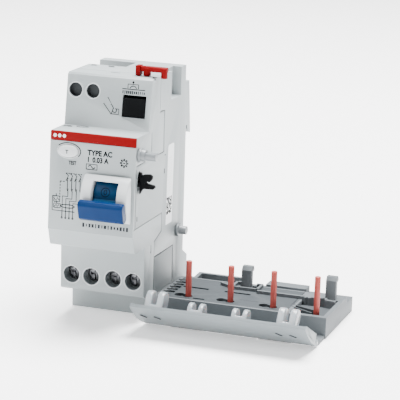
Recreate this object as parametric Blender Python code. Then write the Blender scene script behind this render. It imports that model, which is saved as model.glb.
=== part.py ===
"""Residual current block for a four-pole circuit breaker on a DIN rail.

Frame: +X to the right, the front looks along -Y, +Z up. Y = 0 is the plane that seats on the rail
and Z = 0 is the middle of the rail. Sizes below are in millimetres, with X counted from the left
side. MM turns them into metres and CENTRE moves the middle of the case to X = 0.
"""
import math

import bmesh
import bpy
from mathutils import Vector

MM = 0.001

# Overall sizes
MODULE = 17.5                 # one pole of a rail-mounted device
BODY_MODULES = 2
TRAY_MODULES = 4
BODY_WIDTH = MODULE * BODY_MODULES
TRAY_WIDTH = MODULE * TRAY_MODULES
WALL = 1.6
SIDE_WALL = 1.2
GAP = 0.3                     # between neighbouring pieces
FINE_GAP = 0.15               # running clearance and inset trim
CENTRE = Vector((BODY_WIDTH / 2, 0.0, 0.0))

# Side outline of the case: Y of the faces and Z of the steps
TOP = 42.8
UPPER_FRONT_TOP = -38.8
UPPER_FRONT_FOOT = -41.8
NOSE_TOP = 22.8
NOSE_FRONT_TOP = -54.8
NOSE_FRONT_CREASE = -56.8
CREASE = -15.3
CREASE_STEP = 0.4
NOSE_BOTTOM = -22.3
LOWER_FRONT = -43.8
LOWER_BOTTOM = -42.6
SKIRT_FRONT = -31.9
BOTTOM = -53.2
REAR_WALL_BACK = -1.5
HOOK_TOP = 35.9
HOOK_TIP = 14.2
HOOK_BACK_TOP = 2.6
HOOK_BACK_TIP = 5.2
RAIL_HALF = 17.5
RAIL_SLOT = 1.4
FLARE_TOP = -34.0
FLARE_FOOT = -37.0
FLARE_BACK = 5.2
PLATE = 1.2                   # thickness of the front plate over the side tongue

# Seam between the front cover and the base
SEAM_TOP = -30.0
SEAM_TOP_END = 28.5
SEAM_MIDDLE = -24.8
TONGUE_TOP = 12.0
TONGUE_FOOT = -12.5
SEAM_WAIST = -25.8
WAIST_FOOT = -20.0
SEAM_LOW = -33.4
SEAM_LOW_TOP = -22.2

# Channel over the top
CHANNEL_FRONT = -18.0
CHANNEL_BACK = -6.9
CHANNEL_FLOOR = 31.5
BRIDGE_LEFT = 15.7
BRIDGE_RIGHT = 31.4

# Handle and its frame
HANDLE_Y = -51.5
HANDLE_Z = -1.1
DRUM_RADIUS = 8.7
DRUM_LEFT = 20.0
DRUM_RIGHT = 29.5
FRAME_RADIUS = 10.5
FRAME_LEFT = 15.3
FRAME_RIGHT = 34.2
FRAME_OPENING = 7.0           # half the window's height
FRAME_BASE_LIFT = 0.3
BAR_INNER = 10.9
BAR_OUTER = 14.6
BAR_HALF = 3.9
HANDLE_DROP = 15.5            # degrees below the horizontal when switched off
PIN_RADIUS = 1.0

# Mechanism
CHEEK_LEFT = 17.2
CHEEK_RIGHT = 29.8
CHEEK = 1.6
BACK_PLATE = -38.2
FORK_Y = -44.5
FORK_Z = 4.5
FORK_SLOT_INNER = 5.9
FORK_SLOT_OUTER = 8.7
FORK_SLOT_START = 141.0
FORK_SLOT_SWEEP = 64.0
PRONGS = (152.0, 177.0)
FORK_REACH = 7.3
SHAFT_Y = -51.9
SHAFT_Z = 16.0
SHAFT_REACH = 7.2
TRIP_Y = -41.0
TRIP_Z = 15.5
RELAY_X = 24.5
RELAY_Z = 9.0

# Buttons
TEST_X = 7.6
TEST_Z = 15.5
TEST_HALF_WIDTH = 4.3
TEST_HALF_HEIGHT = 2.5
TEST_SEAT = -46.4
RELEASE_LEFT = 23.6
RELEASE_RIGHT = 32.6
RELEASE_HEIGHT = 7.0
RELEASE_LIFT = 0.3923         # share of the free height that lies under the button
RELEASE_FOOT = NOSE_TOP + (TOP - NOSE_TOP - RELEASE_HEIGHT) * RELEASE_LIFT
RELEASE_TOP = RELEASE_FOOT + RELEASE_HEIGHT
RELEASE_SLIT = 1.2            # open strip above the button
RELEASE_SEAT = -29.3

# Terminals
TERMINAL_HALF_PITCH = 4.15
TERMINAL_Z = -36.5
TERMINAL_HOLE = 3.4
SCREW_HEAD = 3.0
SCREW_HEAD_FRONT = -38.8
SCREW_SHANK = 1.9
SCREW_TIP = -29.7
CAGE_FRONT = -32.2
CAGE_BACK = -22.2
WIRE_FRONT = -28.2
WIRE_BACK = -23.6
WIRE_HALF = 2.4
CAGE_HALF = 3.1
CAGE_MOUTH = 2.45

# Toroid and leads
TOROID_Y = -14.0
TOROID_Z = -14.0
TOROID_OUTER = 10.8
TOROID_INNER = 6.0
TOROID_HALF = 6.0
LEAD_RADIUS = 1.35
LEAD_Z = -48.6
LEAD_FRONT = -21.3
LEAD_PITCH = 3.5

# Tray beside the case
TRAY_TOP = -44.8
TRAY_FRONT = -31.8
TRAY_BACK = 8.0
TRAY_LOW_TOP = -47.2
TRAY_STEP = -1.2
TRAY_FLOOR = 1.4
COVER_RIGHT = 3 * MODULE + 0.2  # from the tray's left side
PIN_FIRST = 12.0              # first contact pin, from the tray's left side
PIN_Y = -26.3
CONTACT_RADIUS = 1.2
CONTACT_TOP = -30.4
POST_WIDTH = 4.1
POST_FIRST = 27.7
POST_FRONT = -7.4
POST_BACK = -5.0
POST_TOP = -35.7
HINGE_Y = -42.4
HINGE_Z = -51.6
HINGE_RADIUS = 1.3
HINGE_PIN = 0.5
FLAP_LENGTH = 20.6
FLAP_TILT = 34.0              # degrees above the horizontal when open
FLAP_THICK = 1.2
FLAP_BULGE = 1.3


# ---------------------------------------------------------------- helpers

def clear_scene():
    for item in list(bpy.data.objects):
        bpy.data.objects.remove(item, do_unlink=True)


def material(name, colour, roughness, metallic=0.0):
    found = bpy.data.materials.get(name)
    if found:
        return found
    made = bpy.data.materials.new(name)
    made.use_nodes = True
    shader = made.node_tree.nodes["Principled BSDF"]
    shader.inputs["Base Color"].default_value = (*colour, 1.0)
    shader.inputs["Roughness"].default_value = roughness
    shader.inputs["Metallic"].default_value = metallic
    return made


def housing_grey():
    return material("housing_grey", (0.70, 0.72, 0.73), 0.45)


def tray_grey():
    return material("tray_grey", (0.42, 0.44, 0.46), 0.5)


def steel():
    return material("zinc_steel", (0.62, 0.63, 0.65), 0.3, 1.0)


def copper():
    return material("copper", (0.72, 0.32, 0.22), 0.35, 1.0)


def black_plastic():
    return material("black_plastic", (0.02, 0.02, 0.022), 0.4)


def shaft_grey():
    return material("shaft_grey", (0.45, 0.46, 0.48), 0.45)


def dark_insulation():
    return material("lead_insulation", (0.03, 0.03, 0.035), 0.5)


def place(axis, along, across):
    """A point from its coordinate along an axis and the two others in X, Y, Z order."""
    first, second = across
    if axis == "X":
        return Vector((along, first, second))
    if axis == "Y":
        return Vector((first, along, second))
    return Vector((first, second, along))


def prism(mesh, axis, outline, start, end):
    """Extrude an outline, given in the two other axes, along an axis."""
    near = [mesh.verts.new(place(axis, start, point)) for point in outline]
    far = [mesh.verts.new(place(axis, end, point)) for point in outline]
    mesh.faces.new(near)
    mesh.faces.new(list(reversed(far)))
    for index in range(len(outline)):
        after = (index + 1) % len(outline)
        mesh.faces.new((near[index], far[index], far[after], near[after]))


def block(mesh, x0, x1, y0, y1, z0, z1):
    prism(mesh, "X", [(y0, z0), (y1, z0), (y1, z1), (y0, z1)], x0, x1)


def circle(first, second, radius, sides=20, start=0.0, sweep=360.0):
    """Points of a circle, or of an arc whose last point is included."""
    steps = sides if sweep == 360.0 else sides + 1
    turn = [math.radians(start + sweep * step / sides) for step in range(steps)]
    return [(first + radius * math.cos(angle), second + radius * math.sin(angle)) for angle in turn]


def ring(mesh, axis, centre, outer, inner, start, end, sides=24):
    """A closed washer or tube wall."""
    loops = []
    for radius, level in ((outer, start), (outer, end), (inner, end), (inner, start)):
        points = circle(centre[0], centre[1], radius, sides)
        loops.append([mesh.verts.new(place(axis, level, point)) for point in points])
    for number, loop in enumerate(loops):
        following = loops[(number + 1) % len(loops)]
        for index in range(sides):
            after = (index + 1) % sides
            mesh.faces.new((loop[index], loop[after], following[after], following[index]))


def build(name, draw, finish, pivot=tuple(CENTRE)):
    """Make an object: draw(mesh) fills a mesh in millimetres, and pivot is the object's origin."""
    mesh = bmesh.new()
    draw(mesh)
    bmesh.ops.recalc_face_normals(mesh, faces=mesh.faces)
    origin = Vector(pivot)
    for vertex in mesh.verts:
        vertex.co = (vertex.co - origin) * MM
    data = bpy.data.meshes.new(name)
    mesh.to_mesh(data)
    mesh.free()
    thing = bpy.data.objects.new(name, data)
    thing.location = (origin - CENTRE) * MM
    bpy.context.scene.collection.objects.link(thing)
    if finish:
        data.materials.append(finish)
    data.shade_smooth()
    data.set_sharp_from_angle(angle=math.radians(30))
    return thing


def combine(target, operation, name, draw):
    """Cut a shape out of an object or join one to it."""
    tool = build(name, draw, None)
    tool.hide_render = True
    tool.display_type = "WIRE"
    modifier = target.modifiers.new(name, "BOOLEAN")
    modifier.operation = operation
    modifier.object = tool
    return tool


def cut(target, name, draw):
    return combine(target, "DIFFERENCE", "cut_" + name, draw)


def join(target, name, draw):
    return combine(target, "UNION", "join_" + name, draw)


def wire(name, points, radius, finish, sides=2):
    """A round rod along a list of points."""
    curve = bpy.data.curves.new(name, "CURVE")
    curve.dimensions = "3D"
    curve.bevel_depth = radius * MM
    curve.bevel_resolution = sides
    curve.use_fill_caps = True
    spline = curve.splines.new("POLY")
    spline.points.add(len(points) - 1)
    for item, point in zip(spline.points, points):
        item.co = (*((Vector(point) - CENTRE) * MM), 1.0)
    curve.materials.append(finish)
    thing = bpy.data.objects.new(name, curve)
    bpy.context.scene.collection.objects.link(thing)
    return thing


def smooth_path(points, spacing):
    """Points at an even spacing on a smooth curve through the given ones."""
    nodes = [Vector(point) for point in points]
    nodes = [nodes[0] * 2 - nodes[1]] + nodes + [nodes[-1] * 2 - nodes[-2]]
    path = []
    for index in range(1, len(nodes) - 2):
        before, start, end, after = nodes[index - 1:index + 3]
        steps = max(1, round((end - start).length / spacing))
        for step in range(steps):
            t = step / steps
            bend = (2 * start + (end - before) * t + (2 * before - 5 * start + 4 * end - after) * t * t
                    + (3 * start - before - 3 * end + after) * t ** 3)
            path.append(bend * 0.5)
    path.append(nodes[-2])
    return path


def coil(axis, centre, radius, start, end, turns, steps=9):
    """Points of a helix whose ends are half a turn flat."""
    count = int(turns * steps)
    points = []
    for step in range(count + 1):
        angle = math.tau * step / steps
        along = start + (end - start) * step / count
        across = (centre[0] + radius * math.cos(angle), centre[1] + radius * math.sin(angle))
        points.append(place(axis, along, across))
    return points


# ---------------------------------------------------------------- case outline

def nose_front(z):
    """Y of the sloping front of the nose at a height."""
    share = (NOSE_TOP - z) / (NOSE_TOP - CREASE)
    return NOSE_FRONT_TOP + (NOSE_FRONT_CREASE - NOSE_FRONT_TOP) * share


def upper_front(z):
    """Y of the sloping face above the nose at a height."""
    share = (TOP - z) / (TOP - NOSE_TOP)
    return UPPER_FRONT_TOP + (UPPER_FRONT_FOOT - UPPER_FRONT_TOP) * share


def cover_outline():
    edge = 0.7
    corner = 1.5
    low_front = NOSE_FRONT_CREASE + CREASE_STEP
    rounded = circle(low_front + 2 * corner, NOSE_BOTTOM + corner, corner, 3, 180, 90)
    half = GAP / 2
    return [
        (SEAM_TOP - half, TOP),
        (UPPER_FRONT_TOP + edge, TOP),
        (upper_front(TOP - edge), TOP - edge),
        (UPPER_FRONT_FOOT, NOSE_TOP),
        (nose_front(NOSE_TOP) + 0.4, NOSE_TOP),
        (nose_front(NOSE_TOP - 0.4), NOSE_TOP - 0.4),
        (NOSE_FRONT_CREASE, CREASE),
        (low_front, CREASE - 0.3),
        *rounded,
        (LOWER_FRONT, NOSE_BOTTOM),
        (LOWER_FRONT, LOWER_BOTTOM + edge),
        (LOWER_FRONT + edge, LOWER_BOTTOM),
        (SEAM_LOW - half, LOWER_BOTTOM),
        (SEAM_LOW - half, SEAM_LOW_TOP + half),
        (SEAM_WAIST - half, WAIST_FOOT + half),
        (SEAM_WAIST - half, TONGUE_FOOT - half),
        (nose_front(TONGUE_FOOT - half) + PLATE, TONGUE_FOOT - half),
        (nose_front(TONGUE_TOP + half) + PLATE, TONGUE_TOP + half),
        (SEAM_MIDDLE - half, TONGUE_TOP + half),
        (SEAM_MIDDLE - half, SEAM_TOP_END - half),
        (SEAM_TOP - half, SEAM_TOP_END - half),
    ]


def base_outline():
    half = GAP / 2
    return [
        (SEAM_TOP + half, TOP),
        (REAR_WALL_BACK, TOP),
        (REAR_WALL_BACK, HOOK_TOP),
        (HOOK_BACK_TOP, HOOK_TOP),
        (HOOK_BACK_TIP, HOOK_TIP),
        (RAIL_SLOT, HOOK_TIP + 2.1),
        (RAIL_SLOT, RAIL_HALF + 0.4),
        (0.0, RAIL_HALF + 0.4),
        (0.0, FLARE_TOP),
        (FLARE_BACK, FLARE_FOOT),
        (FLARE_BACK, BOTTOM),
        (SKIRT_FRONT, BOTTOM),
        (SKIRT_FRONT, LOWER_BOTTOM),
        (SEAM_LOW + half, LOWER_BOTTOM),
        (SEAM_LOW + half, SEAM_LOW_TOP - half),
        (SEAM_WAIST + half, WAIST_FOOT - half),
        (SEAM_WAIST + half, TONGUE_FOOT + half),
        (nose_front(TONGUE_FOOT + half) + PLATE + GAP, TONGUE_FOOT + half),
        (nose_front(TONGUE_TOP - half) + PLATE + GAP, TONGUE_TOP - half),
        (SEAM_MIDDLE + half, TONGUE_TOP - half),
        (SEAM_MIDDLE + half, SEAM_TOP_END + half),
        (SEAM_TOP + half, SEAM_TOP_END + half),
    ]


def pocket_outline():
    """The room inside both shells. Its front runs in the gap behind the front plate."""
    behind = PLATE + GAP / 2
    return [
        (upper_front(TOP - WALL) + WALL, TOP - WALL),
        (CHANNEL_FRONT - WALL, TOP - WALL),
        (CHANNEL_FRONT - WALL, CHANNEL_FLOOR - WALL),
        (-WALL, CHANNEL_FLOOR - WALL),
        (-WALL, FLARE_TOP - 0.6),
        (FLARE_BACK - WALL, FLARE_FOOT - 0.8),
        (FLARE_BACK - WALL, BOTTOM + WALL),
        (SKIRT_FRONT + WALL, BOTTOM + WALL),
        (SKIRT_FRONT + WALL, LOWER_BOTTOM + WALL),
        (LOWER_FRONT + WALL, LOWER_BOTTOM + WALL),
        (LOWER_FRONT + WALL, NOSE_BOTTOM + WALL),
        (nose_front(NOSE_BOTTOM) + 3.2, NOSE_BOTTOM + WALL),
        (nose_front(CREASE) + behind, CREASE),
        (nose_front(NOSE_TOP - WALL) + behind, NOSE_TOP - WALL),
        (UPPER_FRONT_FOOT + WALL, NOSE_TOP - WALL),
    ]


def terminal_places():
    """X of the four terminals, two in each module."""
    places = []
    for module in range(BODY_MODULES):
        centre = MODULE * (module + 0.5)
        places += [centre - TERMINAL_HALF_PITCH, centre + TERMINAL_HALF_PITCH]
    return places


def shell(name, outline):
    thing = build(name, lambda mesh: prism(mesh, "X", outline, 0.0, BODY_WIDTH), housing_grey())
    cut(thing, name + "_room", lambda mesh: prism(mesh, "X", pocket_outline(), SIDE_WALL,
                                              BODY_WIDTH - SIDE_WALL))
    return thing


# ---------------------------------------------------------------- case pieces

WELL_PLACES = (3.7, 10.9)
WELL_Z = TOP - 6.5
WELL_RADIUS = 2.75
WELL_END = SEAM_TOP - 1.8
BAND_FOOT = 19.3
BAND_DEPTH = 0.6
TUBE_END = -37.9
LOCATING_Y = -8.1
LOCATING_Z = -23.4


def oval(x, z, half_width, half_height, steps=24):
    points = []
    for step in range(steps):
        angle = math.tau * step / steps
        points.append((x + half_width * math.cos(angle), z + half_height * math.sin(angle)))
    return points


def band_outline(grow):
    """The coloured band's side view, or with grow its seat."""
    foot = BAND_FOOT - grow
    back = BAND_DEPTH + grow
    return [
        (nose_front(foot) - 1.0, foot),
        (nose_front(foot) + back, foot),
        (nose_front(NOSE_TOP) + back, NOSE_TOP + 1.0),
        (nose_front(NOSE_TOP) - 1.0, NOSE_TOP + 1.0),
    ]


def front_cover():
    cover = shell("front_cover", cover_outline())
    tube_start = LOWER_FRONT + WALL - 0.4

    def tubes(mesh):
        for x in terminal_places():
            prism(mesh, "Y", circle(x, TERMINAL_Z, TERMINAL_HOLE + 0.55), tube_start, TUBE_END)

    def terminal_holes(mesh):
        for x in terminal_places():
            prism(mesh, "Y", circle(x, TERMINAL_Z, TERMINAL_HOLE, 24), LOWER_FRONT - 1, TUBE_END + 1)

    def wells(mesh):
        start = upper_front(WELL_Z + WELL_RADIUS + 0.5) + 0.3
        for x in WELL_PLACES:
            prism(mesh, "Y", circle(x, WELL_Z, WELL_RADIUS + 0.5), start, SEAM_TOP - 0.4)

    def well_holes(mesh):
        for x in WELL_PLACES:
            prism(mesh, "Y", circle(x, WELL_Z, WELL_RADIUS, 24), -45.0, WELL_END)

    join(cover, "terminal_tubes", tubes)
    cut(cover, "terminal_holes", terminal_holes)
    join(cover, "well_tubes", wells)
    cut(cover, "well_holes", well_holes)
    cut(cover, "band_seat", lambda mesh: prism(mesh, "X", band_outline(FINE_GAP), -1, BODY_WIDTH + 1))
    front = NOSE_FRONT_CREASE - 2
    back = NOSE_FRONT_TOP + 5

    def windows(mesh):
        half_width = TEST_HALF_WIDTH + FINE_GAP
        half_height = TEST_HALF_HEIGHT + FINE_GAP
        prism(mesh, "Y", oval(TEST_X, TEST_Z, half_width, half_height), front, back)
        chord = DRUM_RADIUS - 0.2
        block(mesh, DRUM_LEFT - GAP, DRUM_RIGHT + GAP, front, back, HANDLE_Z - chord, HANDLE_Z + chord)
        block(mesh, RELEASE_LEFT - GAP, RELEASE_RIGHT + GAP, UPPER_FRONT_FOOT - 1, -35.0,
              RELEASE_FOOT - GAP, RELEASE_TOP + RELEASE_SLIT)
        right = BODY_WIDTH
        prism(mesh, "X", circle(SHAFT_Y, SHAFT_Z, 2.2), right - WALL - 1, right + 1)

    cut(cover, "windows", windows)
    return cover


def coloured_band():
    side = band_outline(0.0)
    outline = [
        (nose_front(BAND_FOOT), BAND_FOOT),
        side[1],
        (side[2][0], NOSE_TOP),
        (nose_front(NOSE_TOP) + 0.3, NOSE_TOP),
        (nose_front(NOSE_TOP - 0.3), NOSE_TOP - 0.3),
    ]
    red = material("signal_red", (0.72, 0.02, 0.05), 0.35)
    build("colour_band", lambda mesh: prism(mesh, "X", outline, 0.0, BODY_WIDTH), red)


def base_shell():
    base = shell("base_shell", base_outline())
    right = BODY_WIDTH

    def channel(mesh):
        block(mesh, -1, BRIDGE_LEFT, CHANNEL_FRONT, CHANNEL_BACK, CHANNEL_FLOOR, TOP + 1)
        block(mesh, BRIDGE_RIGHT, right + 1, CHANNEL_FRONT, CHANNEL_BACK, CHANNEL_FLOOR, TOP + 1)

    def fork_slot(mesh):
        outer = circle(FORK_Y, FORK_Z, FORK_SLOT_OUTER, 10, FORK_SLOT_START, FORK_SLOT_SWEEP)
        inner = circle(FORK_Y, FORK_Z, FORK_SLOT_INNER, 10, FORK_SLOT_START, FORK_SLOT_SWEEP)
        prism(mesh, "X", outer + inner[::-1], right - WALL - 1, right + 1)

    def side_openings(mesh):
        block(mesh, right - 0.65, right + 1, COVER_FRONT - GAP, COVER_REAR + GAP,
              COVER_FOOT - GAP, COVER_HEAD + GAP)
        block(mesh, right - WALL - 1, right + 1, *exit_box())

    def wire_entries(mesh):
        for x in terminal_places():
            block(mesh, x - WIRE_HALF, x + WIRE_HALF, WIRE_FRONT, WIRE_BACK, BOTTOM - 1, BOTTOM + WALL + 1)

    def clip_track(mesh):
        block(mesh, CLIP_LEFT - GAP, CLIP_RIGHT + GAP, CLIP_FRONT - FINE_GAP, FLARE_BACK + 1,
              BOTTOM - 1, FLARE_TOP + 1)

    def track_floor(mesh):
        block(mesh, CLIP_LEFT - 2, CLIP_RIGHT + 2, -WALL - 0.2, FLARE_BACK - 0.3, BOTTOM + 0.3, FLARE_FOOT)

    def spring_seat(mesh):
        block(mesh, 24.0, 30.0, RELEASE_SEAT, RELEASE_SEAT + 1.2, RELEASE_FOOT, TOP - 0.5)

    def pin_seat(mesh):
        prism(mesh, "X", circle(LOCATING_Y, LOCATING_Z, 1.6), right - 1.0, right + 1)

    cut(base, "channel", channel)
    join(base, "clip_track_floor", track_floor)
    cut(base, "clip_track", clip_track)
    cut(base, "fork_slot", fork_slot)
    cut(base, "side_openings", side_openings)
    cut(base, "wire_entries", wire_entries)
    join(base, "spring_seat", spring_seat)
    cut(base, "pin_seat", pin_seat)
    return base


COVER_FRONT = -32.9
COVER_REAR = -12.4
COVER_FOOT = -44.3
COVER_HEAD = -29.0
CLIP_LEFT = 12.3
CLIP_RIGHT = 22.7
CLIP_FRONT = 0.5
CLIP_BACK = 3.6


def exit_box():
    """Y and Z limits of the window that the leads leave the case through."""
    reach = 3 * LEAD_PITCH
    margin = LEAD_RADIUS + 0.6
    return (LEAD_FRONT - margin, LEAD_FRONT + reach + margin, LEAD_Z - margin, LEAD_Z + margin)


def side_cover():
    right = BODY_WIDTH
    build("wire_exit_cover", lambda mesh: block(mesh, right - 0.5, right, COVER_FRONT, COVER_REAR,
                                                COVER_FOOT, COVER_HEAD), housing_grey())


def rail_clip():
    """Plastic foot that slides down to let go of the rail's lower edge."""
    outline = [
        (CLIP_FRONT, -18.2), (CLIP_FRONT, BOTTOM + 0.4), (CLIP_BACK, BOTTOM + 0.4), (CLIP_BACK, -17.0),
        (RAIL_SLOT + 1.0, -15.6), (RAIL_SLOT, -15.6), (RAIL_SLOT, -18.2),
    ]
    clip = build("rail_clip", lambda mesh: prism(mesh, "X", outline, CLIP_LEFT, CLIP_RIGHT),
                 black_plastic(), ((CLIP_LEFT + CLIP_RIGHT) / 2, CLIP_BACK, -18.2))
    cut(clip, "clip_slot", lambda mesh: block(mesh, CLIP_LEFT + 3, CLIP_RIGHT - 3, CLIP_FRONT - 1,
                                              CLIP_BACK + 1, BOTTOM + 2, BOTTOM + 4))


def locating_pin():
    right = BODY_WIDTH

    def draw(mesh):
        prism(mesh, "X", circle(LOCATING_Y, LOCATING_Z, 2.8), right + 0.3, right + 1.4)

    pin = build("locating_pin", draw, shaft_grey())
    join(pin, "pin_tip", lambda mesh: prism(mesh, "X", circle(LOCATING_Y, LOCATING_Z, 1.7, 16),
                                            right + 0.8, right + 4.4))
    join(pin, "pin_root", lambda mesh: prism(mesh, "X", circle(LOCATING_Y, LOCATING_Z, 1.4, 16),
                                             right - 0.7, right + 0.9))


# ---------------------------------------------------------------- handle and mechanism

def toggle_frame():
    """White raised surround: a slice of a cylinder with a window for the handle."""
    base = min(nose_front(HANDLE_Z + 9.5), nose_front(HANDLE_Z - 9.5)) - FRAME_BASE_LIFT
    depth = HANDLE_Y - base
    half = math.degrees(math.acos(depth / FRAME_RADIUS))
    outline = circle(HANDLE_Y, HANDLE_Z, FRAME_RADIUS, 16, 180 - half, 2 * half)
    white = material("frame_white", (0.86, 0.87, 0.88), 0.4)
    frame = build("toggle_frame", lambda mesh: prism(mesh, "X", outline, FRAME_LEFT, FRAME_RIGHT), white)
    cut(frame, "frame_window", lambda mesh: block(mesh, DRUM_LEFT - GAP, DRUM_RIGHT + GAP,
                                                  HANDLE_Y - FRAME_RADIUS - 1, base + 1,
                                                  HANDLE_Z - FRAME_OPENING, HANDLE_Z + FRAME_OPENING))


def turned(radius, side, degrees):
    """Y and Z of a point at a radius ahead of the handle's axis, side mm above the arm's middle."""
    angle = math.radians(degrees)
    y = HANDLE_Y - radius * math.cos(angle) - side * math.sin(angle)
    z = HANDLE_Z - radius * math.sin(angle) + side * math.cos(angle)
    return (y, z)


def handle():
    pivot = ((DRUM_LEFT + DRUM_RIGHT) / 2, HANDLE_Y, HANDLE_Z)
    blue = material("handle_blue", (0.0, 0.22, 0.62), 0.35)

    def drum(mesh):
        ring(mesh, "X", (HANDLE_Y, HANDLE_Z), DRUM_RADIUS, PIN_RADIUS + FINE_GAP, DRUM_LEFT, DRUM_RIGHT, 48)

    def neck(mesh):
        corners = [(DRUM_RADIUS - 1.2, -2.6), (BAR_INNER + 0.8, -2.6), (BAR_INNER + 0.8, 2.6),
                   (DRUM_RADIUS - 1.2, 2.6)]
        outline = [turned(radius, side, HANDLE_DROP) for radius, side in corners]
        prism(mesh, "X", outline, DRUM_LEFT, DRUM_RIGHT)

    def bar(mesh):
        corners = [(BAR_INNER, -BAR_HALF + 0.5), (BAR_INNER + 1.0, -BAR_HALF), (BAR_OUTER - 1.0, -BAR_HALF),
                   (BAR_OUTER, -BAR_HALF + 1.2), (BAR_OUTER, BAR_HALF - 1.2), (BAR_OUTER - 1.0, BAR_HALF),
                   (BAR_INNER + 1.0, BAR_HALF), (BAR_INNER, BAR_HALF - 0.5)]
        outline = [turned(radius, side, HANDLE_DROP) for radius, side in corners]
        prism(mesh, "X", outline, FRAME_LEFT + 0.7, FRAME_RIGHT - 0.1)

    lever = build("handle", drum, blue, pivot)
    join(lever, "handle_neck", neck)
    join(lever, "handle_bar", bar)
    pin_start = CHEEK_LEFT - 4.6
    pin_end = CHEEK_RIGHT + CHEEK
    build("handle_pin", lambda mesh: prism(mesh, "X", circle(HANDLE_Y, HANDLE_Z, PIN_RADIUS, 12),
                                           pin_start, pin_end), steel())
    points = coil("X", (HANDLE_Y, HANDLE_Z), 1.9, CHEEK_LEFT - 3.9, CHEEK_LEFT - 0.8, 4)
    wire("handle_spring", points, 0.3, steel(), 1)


def mechanism_frame():
    front = -53.0
    back = BACK_PLATE + CHEEK
    low = HANDLE_Z - 4.5
    high = SHAFT_Z + 2.8

    def body(mesh):
        block(mesh, CHEEK_LEFT, CHEEK_RIGHT + CHEEK, front, back, low, high)

    def room(mesh):
        block(mesh, CHEEK_LEFT + CHEEK, CHEEK_RIGHT, front - 1, BACK_PLATE, low - 1, high + 1)

    def holes(mesh):
        bores = [(HANDLE_Y, HANDLE_Z, PIN_RADIUS), (SHAFT_Y, SHAFT_Z, PIN_RADIUS),
                 (TRIP_Y, TRIP_Z, 0.8), (FORK_Y, FORK_Z, 0.8)]
        for y, z, radius in bores:
            prism(mesh, "X", circle(y, z, radius + FINE_GAP, 12), CHEEK_LEFT - 1, CHEEK_RIGHT + CHEEK + 1)
        prism(mesh, "Y", circle(RELAY_X, RELAY_Z, 1.5, 12), BACK_PLATE - 1, back + 1)

    frame = build("mechanism_frame", body, steel())
    cut(frame, "mechanism_room", room)
    cut(frame, "mechanism_holes", holes)


FORK_LEFT = 31.9
FORK_RIGHT = 33.1


def drive_fork():
    """Black fork that reaches into the breaker beside the block and moves with its trip bar."""
    black = black_plastic()

    def blade(mesh):
        arc = circle(FORK_Y, FORK_Z, FORK_SLOT_OUTER - 0.5, 6, PRONGS[0] - 7, PRONGS[1] - PRONGS[0] + 14)
        hub = circle(FORK_Y, FORK_Z, 2.0, 6, 270, 180)
        prism(mesh, "X", arc + hub, FORK_LEFT, FORK_RIGHT)

    def prongs(mesh):
        middle = (FORK_SLOT_INNER + FORK_SLOT_OUTER) / 2
        for degrees in PRONGS:
            angle = math.radians(degrees)
            y = FORK_Y + middle * math.cos(angle)
            z = FORK_Z + middle * math.sin(angle)
            outline = circle(y, z, 1.25, 10, degrees, 360.0)
            prism(mesh, "X", outline, FORK_LEFT + 0.5, BODY_WIDTH + FORK_REACH)

    fork = build("drive_fork", blade, black, (FORK_RIGHT, FORK_Y, FORK_Z))
    join(fork, "fork_prongs", prongs)
    cut(fork, "fork_bore", lambda mesh: prism(mesh, "X", circle(FORK_Y, FORK_Z, 0.8 + FINE_GAP, 12),
                                              FORK_LEFT - 1, FORK_RIGHT + 1))
    build("fork_pin", lambda mesh: prism(mesh, "X", circle(FORK_Y, FORK_Z, 0.8, 12),
                                         CHEEK_RIGHT + 0.1, FORK_RIGHT + 0.1), steel())


def trip_shaft():
    """Grey shaft that carries the trip to the breaker through the side wall."""
    right = BODY_WIDTH
    grey = shaft_grey()
    centre = (SHAFT_Y, SHAFT_Z)

    def journal(mesh):
        prism(mesh, "X", circle(*centre, PIN_RADIUS, 12), CHEEK_LEFT + 0.2, right - 1.5)

    def crank(mesh):
        outline = [(SHAFT_Y - 1.0, SHAFT_Z + 1.3), (SHAFT_Y - 1.0, SHAFT_Z - 1.3),
                   (SHAFT_Y + 6.0, SHAFT_Z - 1.0), (SHAFT_Y + 6.0, SHAFT_Z + 0.7)]
        prism(mesh, "X", outline, 22.5, 25.5)

    shaft = build("trip_shaft", journal, grey, (right, *centre))
    join(shaft, "shaft_crank", crank)
    join(shaft, "shaft_neck", lambda mesh: prism(mesh, "X", circle(*centre, 1.95), right - 1.9, right + 0.6))
    join(shaft, "shaft_disc", lambda mesh: prism(mesh, "X", circle(*centre, 2.7), right + 0.3, right + 1.4))
    join(shaft, "shaft_collar", lambda mesh: prism(mesh, "X", circle(*centre, 2.3, 16), right + 1.2, right + 3.1))
    flat = circle(*centre, 1.8, 16, 140, 260)
    join(shaft, "shaft_tip", lambda mesh: prism(mesh, "X", flat, right + 3.0, right + SHAFT_REACH))


def trip_lever():
    pivot = (TRIP_Y, TRIP_Z)

    def hub(mesh):
        ring(mesh, "X", pivot, 1.9, 0.8 + FINE_GAP, 22.2, 26.8, 12)

    def tail(mesh):
        block(mesh, 23.0, 26.0, TRIP_Y - 0.6, TRIP_Y + 0.6, TRIP_Z - 8.0, TRIP_Z - 1.3)

    def hook(mesh):
        outline = [(TRIP_Y - 0.9, TRIP_Z + 1.0), (TRIP_Y - 0.4, TRIP_Z + 1.7), (TRIP_Y - 4.6, TRIP_Z + 3.0),
                   (TRIP_Y - 4.8, TRIP_Z + 1.8)]
        prism(mesh, "X", outline, 23.0, 26.0)

    lever = build("trip_lever", hub, material("lever_nylon", (0.75, 0.72, 0.62), 0.5), (24.5, *pivot))
    join(lever, "lever_tail", tail)
    join(lever, "lever_hook", hook)
    build("trip_pin", lambda mesh: prism(mesh, "X", circle(*pivot, 0.8, 12), CHEEK_LEFT + 0.1,
                                         CHEEK_RIGHT + CHEEK - 0.1), steel())


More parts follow.
